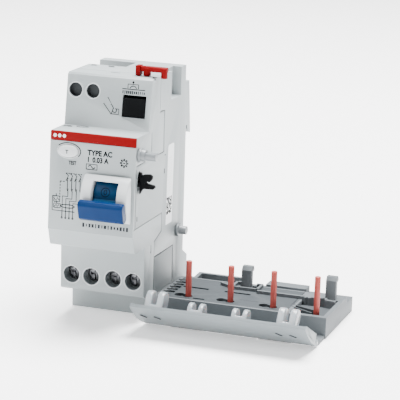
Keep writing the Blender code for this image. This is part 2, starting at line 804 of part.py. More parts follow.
def relay():
    front = -36.2
    back = -25.0
    wall = 1.2
    half = 5.4

    def body(mesh):
        block(mesh, RELAY_X - half, RELAY_X + half, front, back, RELAY_Z - half, RELAY_Z + half)

    def room(mesh):
        block(mesh, RELAY_X - half - 1, RELAY_X + half + 1, front + wall, back - wall,
              RELAY_Z - half + wall, RELAY_Z + half + 1)

    frame = build("relay_frame", body, steel())
    cut(frame, "relay_room", room)
    cut(frame, "relay_hole", lambda mesh: prism(mesh, "Y", circle(RELAY_X, RELAY_Z, 1.3, 12), front - 1,
                                                front + wall + 1))
    build("relay_coil", lambda mesh: ring(mesh, "Y", (RELAY_X, RELAY_Z), 3.9, 1.3, front + wall + GAP,
                                          back - wall - GAP), material("coil_amber", (0.55, 0.22, 0.06), 0.4))
    build("relay_plunger", lambda mesh: prism(mesh, "Y", circle(RELAY_X, RELAY_Z, 1.0, 12),
                                              TRIP_Y + 0.9, back - wall - 0.9), steel(),
          (RELAY_X, TRIP_Y + 0.9, RELAY_Z))


# ---------------------------------------------------------------- buttons and clip

def test_button():
    cream = material("button_white", (0.80, 0.80, 0.79), 0.4)
    front = nose_front(TEST_Z) - 0.9
    flange = nose_front(TEST_Z - TEST_HALF_HEIGHT) + PLATE + 2 * GAP

    def cap(mesh):
        prism(mesh, "Y", oval(TEST_X, TEST_Z, TEST_HALF_WIDTH, TEST_HALF_HEIGHT), front, flange + 0.4)

    button = build("test_button", cap, cream, (TEST_X, front, TEST_Z))
    join(button, "test_flange", lambda mesh: prism(mesh, "Y", oval(TEST_X, TEST_Z, TEST_HALF_WIDTH + 0.8,
                                                                  TEST_HALF_HEIGHT + 0.8), flange, flange + 0.9))
    join(button, "test_stem", lambda mesh: prism(mesh, "Y", circle(TEST_X, TEST_Z, 1.0, 12), flange + 0.5,
                                                 TEST_SEAT + 0.4))
    points = coil("Y", (TEST_X, TEST_Z), 1.9, flange + 1.6, TEST_SEAT - 0.7, 4)
    wire("test_spring", points, 0.3, steel(), 1)

    def bracket(mesh):
        block(mesh, TEST_X - 3.6, TEST_X + 3.6, TEST_SEAT, TEST_SEAT + 0.8, TEST_Z - 3, TEST_Z + 3)

    contact = build("test_contact", bracket, copper())
    for number, x in enumerate((TEST_X - 3.6, TEST_X + 2.8)):
        join(contact, "contact_leg_%d" % (number + 1),
             lambda mesh, x=x: block(mesh, x, x + 0.8, TEST_SEAT + 0.3, BOARD_FRONT - GAP, TEST_Z - 3, TEST_Z + 3))
    cut(contact, "contact_hole", lambda mesh: prism(mesh, "Y", circle(TEST_X, TEST_Z, 1.3, 12), TEST_SEAT - 1,
                                                    TEST_SEAT + 2))


BOARD_FRONT = -41.2


def circuit_board():
    green = material("board_green", (0.03, 0.22, 0.10), 0.45)
    build("circuit_board", lambda mesh: block(mesh, 2.2, 14.6, BOARD_FRONT, BOARD_FRONT + 1.6, -10.0, 20.6), green)

    def resistor(mesh):
        prism(mesh, "Z", circle(8.4, BOARD_FRONT + 3.6, 1.5, 12), -6.0, 5.0)

    build("test_resistor", resistor, material("resistor_tan", (0.62, 0.45, 0.28), 0.5))


def release_button():
    black = black_plastic()
    proud = 0.3
    outline = [(upper_front(RELEASE_TOP) - proud, RELEASE_TOP), (upper_front(RELEASE_FOOT) - proud, RELEASE_FOOT),
               (-34.6, RELEASE_FOOT), (-34.6, RELEASE_TOP)]
    middle = (RELEASE_LEFT + RELEASE_RIGHT) / 2
    height = (RELEASE_FOOT + RELEASE_TOP) / 2
    button = build("release_button", lambda mesh: prism(mesh, "X", outline, RELEASE_LEFT, RELEASE_RIGHT),
                   black, (middle, upper_front(height), height))
    join(button, "release_flange", lambda mesh: block(mesh, RELEASE_LEFT - 0.9, RELEASE_RIGHT + 0.8, -36.2, -35.0,
                                                      RELEASE_FOOT - 0.9, RELEASE_TOP + 0.3))
    points = coil("Y", (middle, height), 1.9, -33.9, RELEASE_SEAT - 0.7, 4)
    wire("release_spring", points, 0.35, steel(), 1)


CLIP_Y = -33.6
CLIP_BAR_Z = 45.7


def coupling_clip():
    """Red clip that slides along the top and hooks the breaker."""
    right = BODY_WIDTH
    red = material("clip_red", (0.78, 0.03, 0.05), 0.35)
    radius = 1.15
    foot = TOP + GAP
    bar = build("coupling_clip", lambda mesh: prism(mesh, "X", circle(CLIP_Y, CLIP_BAR_Z, radius, 12),
                                                    right - 8.4, right + 3.9), red, (right, CLIP_Y, foot))
    join(bar, "clip_leg", lambda mesh: prism(mesh, "Z", circle(right + 2.6, CLIP_Y, 1.3, 12), TOP - 0.3,
                                             CLIP_BAR_Z + 0.5))
    join(bar, "clip_post", lambda mesh: prism(mesh, "Z", circle(right - 4.4, CLIP_Y, 1.5, 12), foot,
                                              CLIP_BAR_Z + 0.4))
    join(bar, "clip_lobe", lambda mesh: block(mesh, right - 8.6, right - 6.8, CLIP_Y - 1.6, CLIP_Y + 1.6, foot,
                                              CLIP_BAR_Z + 1.2))


# ---------------------------------------------------------------- terminals

def terminals():
    shank_start = SCREW_HEAD_FRONT + 1.2
    for number, x in enumerate(terminal_places(), 1):
        centre = (x, TERMINAL_Z)
        pivot = (x, SCREW_HEAD_FRONT, TERMINAL_Z)
        screw = build("terminal_screw_%d" % number,
                      lambda mesh: prism(mesh, "Y", circle(*centre, SCREW_HEAD, 16), SCREW_HEAD_FRONT,
                                         SCREW_HEAD_FRONT + 1.4), steel(), pivot)
        join(screw, "screw_shank_%d" % number,
             lambda mesh: prism(mesh, "Y", circle(*centre, SCREW_SHANK, 12), shank_start, SCREW_TIP))
        cut(screw, "screw_slot_%d" % number,
            lambda mesh: block(mesh, x - 0.5, x + 0.5, SCREW_HEAD_FRONT - 1, SCREW_HEAD_FRONT + 0.8,
                               TERMINAL_Z - 4, TERMINAL_Z + 4))
        cage = build("clamp_cage_%d" % number,
                     lambda mesh: block(mesh, x - CAGE_HALF, x + CAGE_HALF, CAGE_FRONT, CAGE_BACK, TERMINAL_Z - 4,
                                        TERMINAL_Z + 4), steel(), (x, CAGE_FRONT, TERMINAL_Z))
        cut(cage, "cage_mouth_%d" % number,
            lambda mesh: block(mesh, x - CAGE_MOUTH, x + CAGE_MOUTH, CAGE_FRONT + 2.2, CAGE_BACK - 1.2, TERMINAL_Z - 5,
                               TERMINAL_Z + 5))
        cut(cage, "cage_thread_%d" % number,
            lambda mesh: prism(mesh, "Y", circle(*centre, SCREW_SHANK + FINE_GAP, 12), CAGE_FRONT - 1,
                               CAGE_FRONT + 3))
        build("terminal_bar_%d" % number,
              lambda mesh: block(mesh, x - 2.1, x + 2.1, SCREW_TIP + GAP, SCREW_TIP + GAP + 0.8,
                                 LOWER_BOTTOM + WALL + 0.4, TERMINAL_Z + 12.5), copper())


# ---------------------------------------------------------------- toroid and leads

def toroid():
    centre = (BODY_WIDTH / 2, TOROID_Y)
    low = TOROID_Z - TOROID_HALF
    high = TOROID_Z + TOROID_HALF
    cup = build("toroid_cup", lambda mesh: ring(mesh, "Z", centre, TOROID_OUTER, TOROID_INNER, low, high, 28),
                black_plastic())
    cut(cup, "cup_room", lambda mesh: ring(mesh, "Z", centre, TOROID_OUTER - 0.9, TOROID_INNER + 0.9,
                                           low + 1.2, high + 1, 28))
    build("toroid_core", lambda mesh: ring(mesh, "Z", centre, TOROID_OUTER - 1.2, TOROID_INNER + 1.2,
                                           low + 1.5, high - 0.6, 28),
          material("core_alloy", (0.35, 0.34, 0.33), 0.35, 1.0))
    reach = 0.65
    lift = TOROID_HALF + 0.7
    corners = [(TOROID_OUTER + reach, -lift), (TOROID_OUTER + reach, lift), (TOROID_INNER - reach, lift),
               (TOROID_INNER - reach, -lift)]
    turns = 7
    points = []
    for step in range(turns * len(corners) + 1):
        around = math.radians(60 + 60 * step / (turns * len(corners)))
        radius, height = corners[step % len(corners)]
        points.append((centre[0] + radius * math.cos(around), centre[1] + radius * math.sin(around),
                       TOROID_Z + height))
    wire("secondary_winding", points, 0.28, copper(), 1)


def lead_places():
    """For each terminal: the lead's place in the toroid's bore and its lane on the way out."""
    offset = 1.95
    left = BODY_WIDTH / 2 - offset
    right = BODY_WIDTH / 2 + offset
    front = TOROID_Y - offset
    back = TOROID_Y + offset
    return [(left, back, 2), (left, front, 1), (right, front, 0), (right, back, 3)]


def contact_places():
    return [BODY_WIDTH + GAP + PIN_FIRST + MODULE * number for number in range(TRAY_MODULES)]


def leads():
    """Four insulated conductors: terminal bar, toroid bore, side window, contact pin."""
    start_y = SCREW_TIP + GAP + 0.4
    bar_top = TERMINAL_Z + 12.5
    ring_top = TOROID_Z + TOROID_HALF
    ring_foot = TOROID_Z - TOROID_HALF
    middle = BODY_WIDTH / 2
    for number, (x, (bore_x, bore_y, lane)) in enumerate(zip(terminal_places(), lead_places()), 1):
        lane_y = LEAD_FRONT + LEAD_PITCH * lane
        outward = math.copysign(1.0, bore_x - middle)
        contact_x = contact_places()[lane]
        points = [(x, start_y, bar_top + GAP), (x, start_y + 0.6, ring_top - 5.0)]
        if bore_y > TOROID_Y:
            points += [(middle + outward * 9.6, bore_y - 7.0, ring_top + 3.4),
                       (middle + outward * 5.4, bore_y - 1.2, ring_top + 4.6)]
        else:
            points += [(bore_x + outward * 2.4, bore_y - 10.2, ring_top + 1.6),
                       (bore_x + outward * 1.0, bore_y - 4.6, ring_top + 3.8)]
        points += [(bore_x, bore_y, ring_top + 1.0), (bore_x, bore_y, TOROID_Z), (bore_x, bore_y, ring_foot - 2.0)]
        if outward > 0:
            points += [(bore_x + 4.0, (3 * bore_y + lane_y) / 4, ring_foot - 9.0),
                       (bore_x + 7.0, (bore_y + lane_y) / 2, ring_foot - 18.0),
                       (BODY_WIDTH - 5.5, lane_y, LEAD_Z + 2.6), (BODY_WIDTH - 2.0, lane_y, LEAD_Z + 0.3)]
        else:
            points += [(bore_x, bore_y, ring_foot - 12.0), (bore_x + 2.5, (bore_y + lane_y) / 2, LEAD_Z + 4.0),
                       (BODY_WIDTH - 11.0, lane_y, LEAD_Z)]
        points += [(BODY_WIDTH + 2.0, lane_y, LEAD_Z), (contact_x - 5.0, lane_y, LEAD_Z),
                   (contact_x - 0.6, lane_y * 0.55 + PIN_Y * 0.45, LEAD_Z),
                   (contact_x, PIN_Y + CONTACT_RADIUS + 0.5, LEAD_Z)]
        wire("lead_%d" % number, smooth_path(points, 3.6), LEAD_RADIUS, dark_insulation(), 2)


# ---------------------------------------------------------------- tray

TRAY_LEFT = BODY_WIDTH + GAP
TRAY_RIGHT = TRAY_LEFT + TRAY_WIDTH
PLATE_RIGHT = TRAY_LEFT + COVER_RIGHT
RIM = 1.7
PLATE_THICK = 1.4


def post_places():
    pitch = 2 * MODULE
    return [TRAY_LEFT + POST_FIRST, TRAY_LEFT + POST_FIRST + pitch]


def tray_base():
    floor = BOTTOM + TRAY_FLOOR
    ledge = TRAY_TOP - PLATE_THICK - GAP

    def body(mesh):
        outline = [(TRAY_FRONT, BOTTOM), (TRAY_BACK, BOTTOM), (TRAY_BACK, TRAY_LOW_TOP),
                   (TRAY_STEP, TRAY_LOW_TOP), (TRAY_STEP, TRAY_TOP), (TRAY_FRONT, TRAY_TOP)]
        prism(mesh, "X", outline, TRAY_LEFT, TRAY_RIGHT)

    def seat(mesh):
        block(mesh, TRAY_LEFT + RIM, PLATE_RIGHT + GAP, TRAY_FRONT + RIM - GAP, TRAY_STEP - 1.1,
              ledge, TRAY_TOP + 1)

    def wells(mesh):
        block(mesh, TRAY_LEFT + 2 * RIM, PLATE_RIGHT - 1.2, TRAY_FRONT + 2 * RIM - 0.6, TRAY_STEP - 2.6,
              floor, ledge + 0.5)
        block(mesh, PLATE_RIGHT + 2.0, TRAY_RIGHT - 1.7, TRAY_FRONT + RIM + 0.6, POST_FRONT - 0.5,
              floor, TRAY_TOP + 1)

    def passages(mesh):
        y0, y1, z0, z1 = exit_box()
        block(mesh, TRAY_LEFT - 1, TRAY_LEFT + 2 * RIM + 1, y0, y1, z0, ledge + 0.4)
        lane_y = LEAD_FRONT + LEAD_PITCH * 3
        block(mesh, PLATE_RIGHT - 2, PLATE_RIGHT + 3, lane_y - 2.1, lane_y + 1.9, z0, z1 + 0.2)

    def rear_pockets(mesh):
        block(mesh, TRAY_LEFT + 6.0, TRAY_LEFT + 25.0, TRAY_STEP + 1.4, TRAY_BACK - 3.4, floor, TRAY_LOW_TOP + 1)
        block(mesh, TRAY_LEFT + 54.0, TRAY_RIGHT - 4.4, TRAY_STEP + 1.4, TRAY_BACK - 1.6, floor, TRAY_LOW_TOP + 1)

    def ledge_plate(mesh):
        block(mesh, TRAY_LEFT + 0.4, TRAY_RIGHT - 0.4, HINGE_Y + 2.0, TRAY_FRONT + 0.6, BOTTOM, floor - 0.1)

    def knuckle(mesh, start, end):
        outline = circle(HINGE_Y, HINGE_Z, HINGE_RADIUS, 10, 60, 210)
        outline += [(HINGE_Y + 2.6, BOTTOM), (HINGE_Y + 2.6, floor - 0.3)]
        prism(mesh, "X", outline, start, end)

    tray = build("tray_base", body, tray_grey())
    cut(tray, "tray_seat", seat)
    cut(tray, "tray_wells", wells)
    cut(tray, "tray_passages", passages)
    cut(tray, "tray_rear_pockets", rear_pockets)
    join(tray, "tray_ledge", ledge_plate)
    for number, (start, end) in enumerate(knuckle_spans(), 1):
        join(tray, "tray_knuckle_%d" % number, lambda mesh: knuckle(mesh, start, end))
    hook = 1.6
    outline = [(POST_FRONT, BOTTOM + 0.5), (POST_FRONT, POST_TOP - 1.5), (POST_FRONT + 1.1, POST_TOP),
               (POST_BACK + 0.8, POST_TOP), (POST_BACK + hook, POST_TOP - 1.2), (POST_BACK + hook, POST_TOP - 2.0),
               (POST_BACK, POST_TOP - 2.4), (POST_BACK, BOTTOM + 0.5)]
    for number, x in enumerate(post_places(), 1):
        join(tray, "latch_post_%d" % number, lambda mesh: prism(mesh, "X", outline, x, x + POST_WIDTH))

    def rim_wall(mesh):
        points = [(TRAY_LEFT + 5.0, TRAY_STEP + 0.1), (TRAY_LEFT + 4.6, TRAY_BACK - 0.2),
                  (TRAY_LEFT + 27.0, TRAY_BACK - 0.2), (TRAY_LEFT + 27.0, TRAY_BACK - 1.8),
                  (TRAY_LEFT + 6.2, TRAY_BACK - 1.8), (TRAY_LEFT + 6.6, TRAY_STEP + 0.1)]
        prism(mesh, "Z", points, TRAY_LOW_TOP - 0.6, TRAY_TOP)

    def rear_beam(mesh):
        block(mesh, TRAY_LEFT + 35.2, TRAY_LEFT + 52.0, TRAY_BACK - 6.0, TRAY_BACK - 0.2, TRAY_LOW_TOP - 0.6,
              TRAY_TOP)

    join(tray, "rear_rim", rim_wall)
    join(tray, "rear_beam", rear_beam)
    cut(tray, "hinge_bore", lambda mesh: prism(mesh, "X", circle(HINGE_Y, HINGE_Z, HINGE_PIN + FINE_GAP, 10),
                                               TRAY_LEFT - 1, TRAY_RIGHT + 1))


def knuckle_spans():
    """X spans of the tray's hinge knuckles. The flap's own barrels fill the rest."""
    first = TRAY_LEFT + TRAY_WIDTH * 0.15
    width = TRAY_WIDTH * 0.19
    return [(first, first + width), (TRAY_RIGHT - (first - TRAY_LEFT) - width, TRAY_RIGHT - (first - TRAY_LEFT))]


def keyhole(x):
    """Outline of the slot round a contact pin, with its narrow end to the left."""
    narrow = circle(x, PIN_Y, CONTACT_RADIUS + 0.45, 8, -110, 220)
    wide = circle(x - 3.9, PIN_Y + 0.6, 2.1, 10, 40, 280)
    return narrow + wide


def tray_cover():
    left = TRAY_LEFT + RIM + GAP
    right = PLATE_RIGHT
    front = TRAY_FRONT + RIM
    back = TRAY_STEP - 1.4
    low = TRAY_TOP - PLATE_THICK

    def slots(mesh):
        for number, x in enumerate(contact_places()[:3]):
            prism(mesh, "Z", keyhole(x), low - 1, TRAY_TOP + 1)
            if number < 2:
                block(mesh, x - 6.4, x + 4.4, -15.4, -13.7, low - 1, TRAY_TOP + 1)
        block(mesh, left + 12.6, left + 17.4, -29.1, -27.6, low - 1, TRAY_TOP + 1)
        post = post_places()[0]
        block(mesh, post - 1.4, post + POST_WIDTH + 1.4, POST_FRONT - 1.0, back + 1, low - 1, TRAY_TOP + 1)
        teeth = 5
        pitch = (LEAD_PITCH * 3 + 7.0) / teeth
        for tooth in range(teeth):
            y = LEAD_FRONT - 3.0 + tooth * pitch
            block(mesh, left - 1, left + 3.2, y, y + pitch * 0.62, low - 1, TRAY_TOP + 1)

    plate = build("tray_cover", lambda mesh: block(mesh, left, right, front, back, low, TRAY_TOP), tray_grey())
    cut(plate, "cover_slots", slots)


def contact_pins():
    pink = material("pin_copper", (0.75, 0.22, 0.16), 0.4, 0.6)
    for number, x in enumerate(contact_places(), 1):
        build("contact_pin_%d" % number,
              lambda mesh: prism(mesh, "Z", circle(x, PIN_Y, CONTACT_RADIUS, 12), LEAD_Z - 1.2, CONTACT_TOP), pink)


def flap_point(along, out, tilt=FLAP_TILT):
    """Y and Z of a point along the flap from its hinge, and out on its inner side."""
    angle = math.radians(tilt)
    y = HINGE_Y - along * math.cos(angle) + out * math.sin(angle)
    z = HINGE_Z + along * math.sin(angle) + out * math.cos(angle)
    return (y, z)


def flap_bulge(along):
    share = along / FLAP_LENGTH
    return -FLAP_BULGE * 4 * share * (1 - share)


def terminal_flap():
    light = material("flap_grey", (0.66, 0.68, 0.69), 0.4)
    pivot = ((TRAY_LEFT + TRAY_RIGHT) / 2, HINGE_Y, HINGE_Z)
    steps = 8
    start = HINGE_RADIUS * 0.4
    outer = []
    inner = []
    for step in range(steps + 1):
        along = start + (FLAP_LENGTH - start) * step / steps
        outer.append(flap_point(along, flap_bulge(along) - FLAP_THICK))
        inner.append(flap_point(along, flap_bulge(along)))
    left = TRAY_LEFT + 0.3
    right = TRAY_RIGHT - 0.3
    flap = build("terminal_flap", lambda mesh: prism(mesh, "X", outer + inner[::-1], left, right), light, pivot)

    def relief(mesh):
        for first, last in knuckle_spans():
            prism(mesh, "X", circle(HINGE_Y, HINGE_Z, HINGE_RADIUS + GAP, 12), first - GAP, last + GAP)

    spans = knuckle_spans()
    barrels = [(left, spans[0][0] - GAP), (spans[0][1] + GAP, spans[1][0] - GAP), (spans[1][1] + GAP, right)]
    for number, (first, last) in enumerate(barrels, 1):
        join(flap, "flap_barrel_%d" % number,
             lambda mesh: prism(mesh, "X", circle(HINGE_Y, HINGE_Z, HINGE_RADIUS, 12), first, last))
    cut(flap, "flap_relief", relief)
    cut(flap, "flap_bore", lambda mesh: prism(mesh, "X", circle(HINGE_Y, HINGE_Z, HINGE_PIN + FINE_GAP, 10),
                                              left - 1, right + 1))
    rib = [flap_point(3.0, flap_bulge(3.0) - 0.5), flap_point(3.4, 2.6), flap_point(FLAP_LENGTH - 1.5, 0.6),
           flap_point(FLAP_LENGTH - 1.5, flap_bulge(FLAP_LENGTH - 1.5) - 0.5)]
    for number, x in enumerate((left, right - 1.0), 1):
        join(flap, "flap_rib_%d" % number, lambda mesh: prism(mesh, "X", rib, x, x + 1.0))
    build("flap_hinge_pin", lambda mesh: prism(mesh, "X", circle(HINGE_Y, HINGE_Z, HINGE_PIN, 10),
                                               TRAY_LEFT + 0.2, TRAY_RIGHT - 0.2), steel())


def flap_plug(number, x, half_width, half_channel, height, foot=15.6):
    """Rounded plug with a channel down its middle, clipped to the inside of the flap."""
    white = material("plug_white", (0.85, 0.87, 0.89), 0.3)
    base = foot - 3.1
    end = foot + 3.1
    clear = GAP + 0.1
    base_lift = flap_bulge(base) + clear
    end_lift = flap_bulge(end) + clear
    crown = 3.1
    middle = height - crown
    outline = [flap_point(base, base_lift), flap_point(base, middle)]
    for step in range(1, 8):
        angle = math.pi * step / 8
        outline.append(flap_point(foot - crown * math.cos(angle), middle + crown * math.sin(angle)))
    outline += [flap_point(end, middle), flap_point(end, end_lift)]
    plug = build("flap_plug_%d" % number,
                 lambda mesh: prism(mesh, "X", outline, x - half_width, x + half_width), white,
                 (x, HINGE_Y, HINGE_Z))
    cut_low = end_lift + 1.4
    channel = [flap_point(base - 1, cut_low), flap_point(base - 1, height + 1), flap_point(end + 1, height + 1),
               flap_point(end + 1, cut_low)]
    cut(plug, "plug_channel_%d" % number, lambda mesh: prism(mesh, "X", channel, x - half_channel, x + half_channel))


def flap_plugs():
    for number in range(TRAY_MODULES):
        x = TRAY_LEFT + MODULE * (number + 0.5)
        outer = number in (0, TRAY_MODULES - 1)
        if outer:
            flap_plug(number + 1, x, 3.7, 1.0, 7.6)
        else:
            flap_plug(number + 1, x - 0.8, 3.1, 1.2, 4.9)


def main():
    clear_scene()
    front_cover()
    coloured_band()
    base_shell()
    side_cover()
    rail_clip()
    locating_pin()
    toggle_frame()
    handle()
    mechanism_frame()
    drive_fork()
    trip_shaft()
    trip_lever()
    relay()
    test_button()
    circuit_board()
    release_button()
    coupling_clip()
    terminals()
    toroid()
    leads()
    tray_base()
    tray_cover()
    contact_pins()
    terminal_flap()
    flap_plugs()


main()
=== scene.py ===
# %% [markdown]
# # A residual current block, finished for the camera
#
# The object is a switch for a fuse board. Its case is two modules wide and clips on a rail, and a four-module
# tray beside it carries pins for the breaker that stands next to it. The imported CAD model gives every
# moving body and every size. This script adds the looks: softened plastic edges, printed symbols, springs,
# finishes, a floor, light and a camera.

# %% Load the frame
import math
import random

import bmesh
import bpy
from mathutils import Matrix, Vector


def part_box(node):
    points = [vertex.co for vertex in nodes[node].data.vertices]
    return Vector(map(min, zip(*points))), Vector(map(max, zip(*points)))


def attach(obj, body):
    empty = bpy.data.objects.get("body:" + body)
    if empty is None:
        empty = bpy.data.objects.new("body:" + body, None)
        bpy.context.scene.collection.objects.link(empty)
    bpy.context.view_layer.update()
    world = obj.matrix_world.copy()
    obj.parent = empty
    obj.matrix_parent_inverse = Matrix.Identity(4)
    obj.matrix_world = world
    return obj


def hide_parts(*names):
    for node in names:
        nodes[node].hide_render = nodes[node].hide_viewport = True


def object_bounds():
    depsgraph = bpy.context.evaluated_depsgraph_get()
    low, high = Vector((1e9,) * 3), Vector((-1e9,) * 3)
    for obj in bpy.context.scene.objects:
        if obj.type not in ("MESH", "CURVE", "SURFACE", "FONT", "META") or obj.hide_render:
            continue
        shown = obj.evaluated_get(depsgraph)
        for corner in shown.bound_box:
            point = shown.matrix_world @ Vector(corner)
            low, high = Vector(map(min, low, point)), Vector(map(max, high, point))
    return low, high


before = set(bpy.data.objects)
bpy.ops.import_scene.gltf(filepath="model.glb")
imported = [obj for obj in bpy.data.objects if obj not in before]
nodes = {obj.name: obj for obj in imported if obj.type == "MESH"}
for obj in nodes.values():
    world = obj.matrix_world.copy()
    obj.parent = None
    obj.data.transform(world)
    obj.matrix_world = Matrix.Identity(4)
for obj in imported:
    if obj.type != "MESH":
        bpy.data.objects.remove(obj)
cad_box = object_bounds()
MM = 0.001
case_low, case_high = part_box("base_shell")
CASE_WIDTH = (case_high.x - case_low.x) / MM
CASE_MIDDLE = CASE_WIDTH / 2
print("case", round(CASE_WIDTH, 2), "mm wide,", len(nodes), "nodes")

# %% [markdown]
# Sizes on the drawing of this object are in millimetres, with X counted from the case's left
# side, Y from the rail's plane (the front is at minus Y) and Z from the middle of the rail. One
# small function turns such a place into the frame's metres, so every number below reads like a
# dimension on a drawing. Another reads a CAD node's box back on to the drawing, so the top, the
# handle's axis, the terminals, the tray and the flap's hinge are taken from the solids.


# %% Places on the object
def at(x, y, z):
    return Vector((x - CASE_MIDDLE, y, z)) * MM


def drawn_box(node):
    """A node's two opposite corners as places on the drawing, to a thousandth of a millimetre."""
    shift = Vector((CASE_MIDDLE, 0.0, 0.0))
    return [Vector([round(value, 3) for value in corner / MM + shift]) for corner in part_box(node)]


def drawn_middle(node):
    low, high = drawn_box(node)
    return [round(value, 3) for value in (low + high) / 2]


def round_mm(value):
    return round(value, 3)


TOP = round_mm(drawn_box("base_shell")[1].z)
NOSE_TOP = round_mm(drawn_box("colour_band")[1].z)
CREASE = -15.3
NOSE_FRONT = (-54.8, -56.8)
UPPER_FRONT = (-38.8, -41.8)


def nose_front(z):
    """Y of the nose's leaning front at a height."""
    share = (NOSE_TOP - z) / (NOSE_TOP - CREASE)
    return NOSE_FRONT[0] + (NOSE_FRONT[1] - NOSE_FRONT[0]) * share


def upper_front(z):
    share = (TOP - z) / (TOP - NOSE_TOP)
    return UPPER_FRONT[0] + (UPPER_FRONT[1] - UPPER_FRONT[0]) * share


# Each of these lays a flat drawing on one face: u and v run over it and h stands out of it.
def on_nose(u, v, h):
    return at(u, nose_front(v) - h, v)


def on_upper(u, v, h):
    return at(u, upper_front(v) - h, v)


def on_ledge(u, v, h):
    return at(u, v, NOSE_TOP + h)


def on_right_side(u, v, h):
    return at(CASE_WIDTH + h, u, v)


print("nose leans", round(nose_front(NOSE_TOP) - nose_front(CREASE), 2), "mm")

# %% [markdown]
# ## Shader maths as sums
#
# A material is a graph of small nodes. Building one by hand takes many lines, so a class wraps a
# socket and gives it plus, minus, times and power. Then `1 - mask * 0.5` adds the Math nodes by
# itself. Every other kind of node comes from one method, `add`.


# %% A socket that can be used in sums
class Level:
    def __init__(self, finish, socket):
        self.finish = finish
        self.socket = socket

    def sum(self, operation, other, swapped=False):
        pair = (other, self) if swapped else (self, other)
        return self.finish.add("ShaderNodeMath", {"operation": operation}, {0: pair[0], 1: pair[1]})

    def __add__(self, other):
        return self.sum("ADD", other)

    def __sub__(self, other):
        return self.sum("SUBTRACT", other)

    def __rsub__(self, other):
        return self.sum("SUBTRACT", other, True)

    def __mul__(self, other):
        return self.sum("MULTIPLY", other)

    def __pow__(self, other):
        return self.sum("POWER", other)

    __radd__ = __add__
    __rmul__ = __mul__


class Finish:
    """A Principled material under construction."""

    def __init__(self, name, roughness=0.45, metallic=0.0, **constants):
        self.material = bpy.data.materials.new(name)
        self.material.use_nodes = True
        self.tree = self.material.node_tree
        self.shader = self.tree.nodes["Principled BSDF"]
        self.shader.inputs["Roughness"].default_value = roughness
        self.shader.inputs["Metallic"].default_value = metallic
        for socket, value in constants.items():
            self.shader.inputs[socket.replace("_", " ")].default_value = value

    def add(self, kind, settings=None, inputs=None, output=0):
        node = self.tree.nodes.new(kind)
        for key, value in (settings or {}).items():
            setattr(node, key, value)
        for key, value in (inputs or {}).items():
            if isinstance(value, Level):
                self.tree.links.new(value.socket, node.inputs[key])
            else:
                node.inputs[key].default_value = value
        return Level(self, node.outputs[output])

    def place(self):
        return self.add("ShaderNodeTexCoord", output="Object")

    def noise(self, grain, detail=2.0):
        """Clouds whose lumps are about grain metres across."""
        inputs = {"Vector": self.place(), "Scale": 1 / grain, "Detail": detail}
        return self.add("ShaderNodeTexNoise", {}, inputs)

    def mix(self, amount, first, second):
        colours = {6: first, 7: second, 0: amount}
        return self.add("ShaderNodeMix", {"data_type": "RGBA"}, colours, output=2)

    def feed(self, socket, level):
        self.tree.links.new(level.socket, self.shader.inputs[socket])

    def bump(self, height, strength, distance):
        inputs = {"Height": height, "Strength": strength, "Distance": distance}
        self.feed("Normal", self.add("ShaderNodeBump", {}, inputs))


print("shader tools ready")

# %% [markdown]
# ## Moulded plastic
#
# The case is injection-moulded polyamide. Such plastic isn't one flat colour: its surface has a
# fine spark-eroded grain that breaks up reflections, and the pigment drifts a little from thick
# to thin walls. One function makes all the plastics, with the amounts as arguments.


# %% Plastics
def tint(colour, amount):
    return (*(min(1.0, channel * amount) for channel in colour), 1.0)


def plastic(name, colour, roughness=0.42, grain=0.10, drift=0.05, **constants):
    finish = Finish(name, roughness, 0.0, **constants)
    cloud = finish.noise(9 * MM, 3.0)
    speck = finish.noise(0.35 * MM, 2.0)
    amount = cloud * 0.75 + speck * 0.25
    finish.feed("Base Color", finish.mix(amount, tint(colour, 1 - drift), tint(colour, 1 + drift)))
    finish.feed("Roughness", cloud * 0.10 + speck * 0.06 + (roughness - 0.08))
    finish.bump(speck, grain, 0.03 * MM)
    return finish.material


housing_plastic = plastic("housing_plastic", (0.285, 0.315, 0.323), 0.45, Specular_IOR_Level=0.4)
cover_plastic = plastic("side_cover_plastic", (0.20, 0.222, 0.230), 0.48, Specular_IOR_Level=0.35)
tray_plastic = plastic("tray_plastic", (0.098, 0.110, 0.118), 0.55, grain=0.14, Specular_IOR_Level=0.25)
plate_plastic = plastic("tray_plate_plastic", (0.042, 0.049, 0.054), 0.58, grain=0.14, Specular_IOR_Level=0.2)
flap_plastic = plastic("flap_plastic", (0.155, 0.177, 0.188), 0.42, Specular_IOR_Level=0.3)
plug_plastic = plastic("plug_plastic", (0.25, 0.275, 0.295), 0.2, drift=0.03, Subsurface_Weight=0.05)
# Light plastic of the toggle frame; the same plastic paints the highlight rims round the holes.
frame_and_highlight_plastic = plastic("toggle_frame_plastic", (0.50, 0.525, 0.535), 0.34, drift=0.02)
button_plastic = plastic("test_button_plastic", (0.52, 0.545, 0.555), 0.26, drift=0.02)
red_plastic = plastic("red_plastic", (0.155, 0.0006, 0.002), 0.5, drift=0.06, Specular_IOR_Level=0.06)
black_plastic = plastic("black_plastic", (0.0016, 0.002, 0.0025), 0.55, grain=0.2, drift=0.2,
                        Specular_IOR_Level=0.06)
shaft_plastic = plastic("shaft_plastic", (0.16, 0.175, 0.185), 0.36)
nylon = plastic("lever_nylon", (0.70, 0.67, 0.56), 0.45)
insulation = plastic("lead_insulation", (0.006, 0.007, 0.008), 0.5, drift=0.15, Specular_IOR_Level=0.2)
# White ink for printed dots; the same ink paints a highlight on the ledge's nub.
white_ink = plastic("white_ink", (0.85, 0.85, 0.85), 0.5, grain=0.05, drift=0.02)
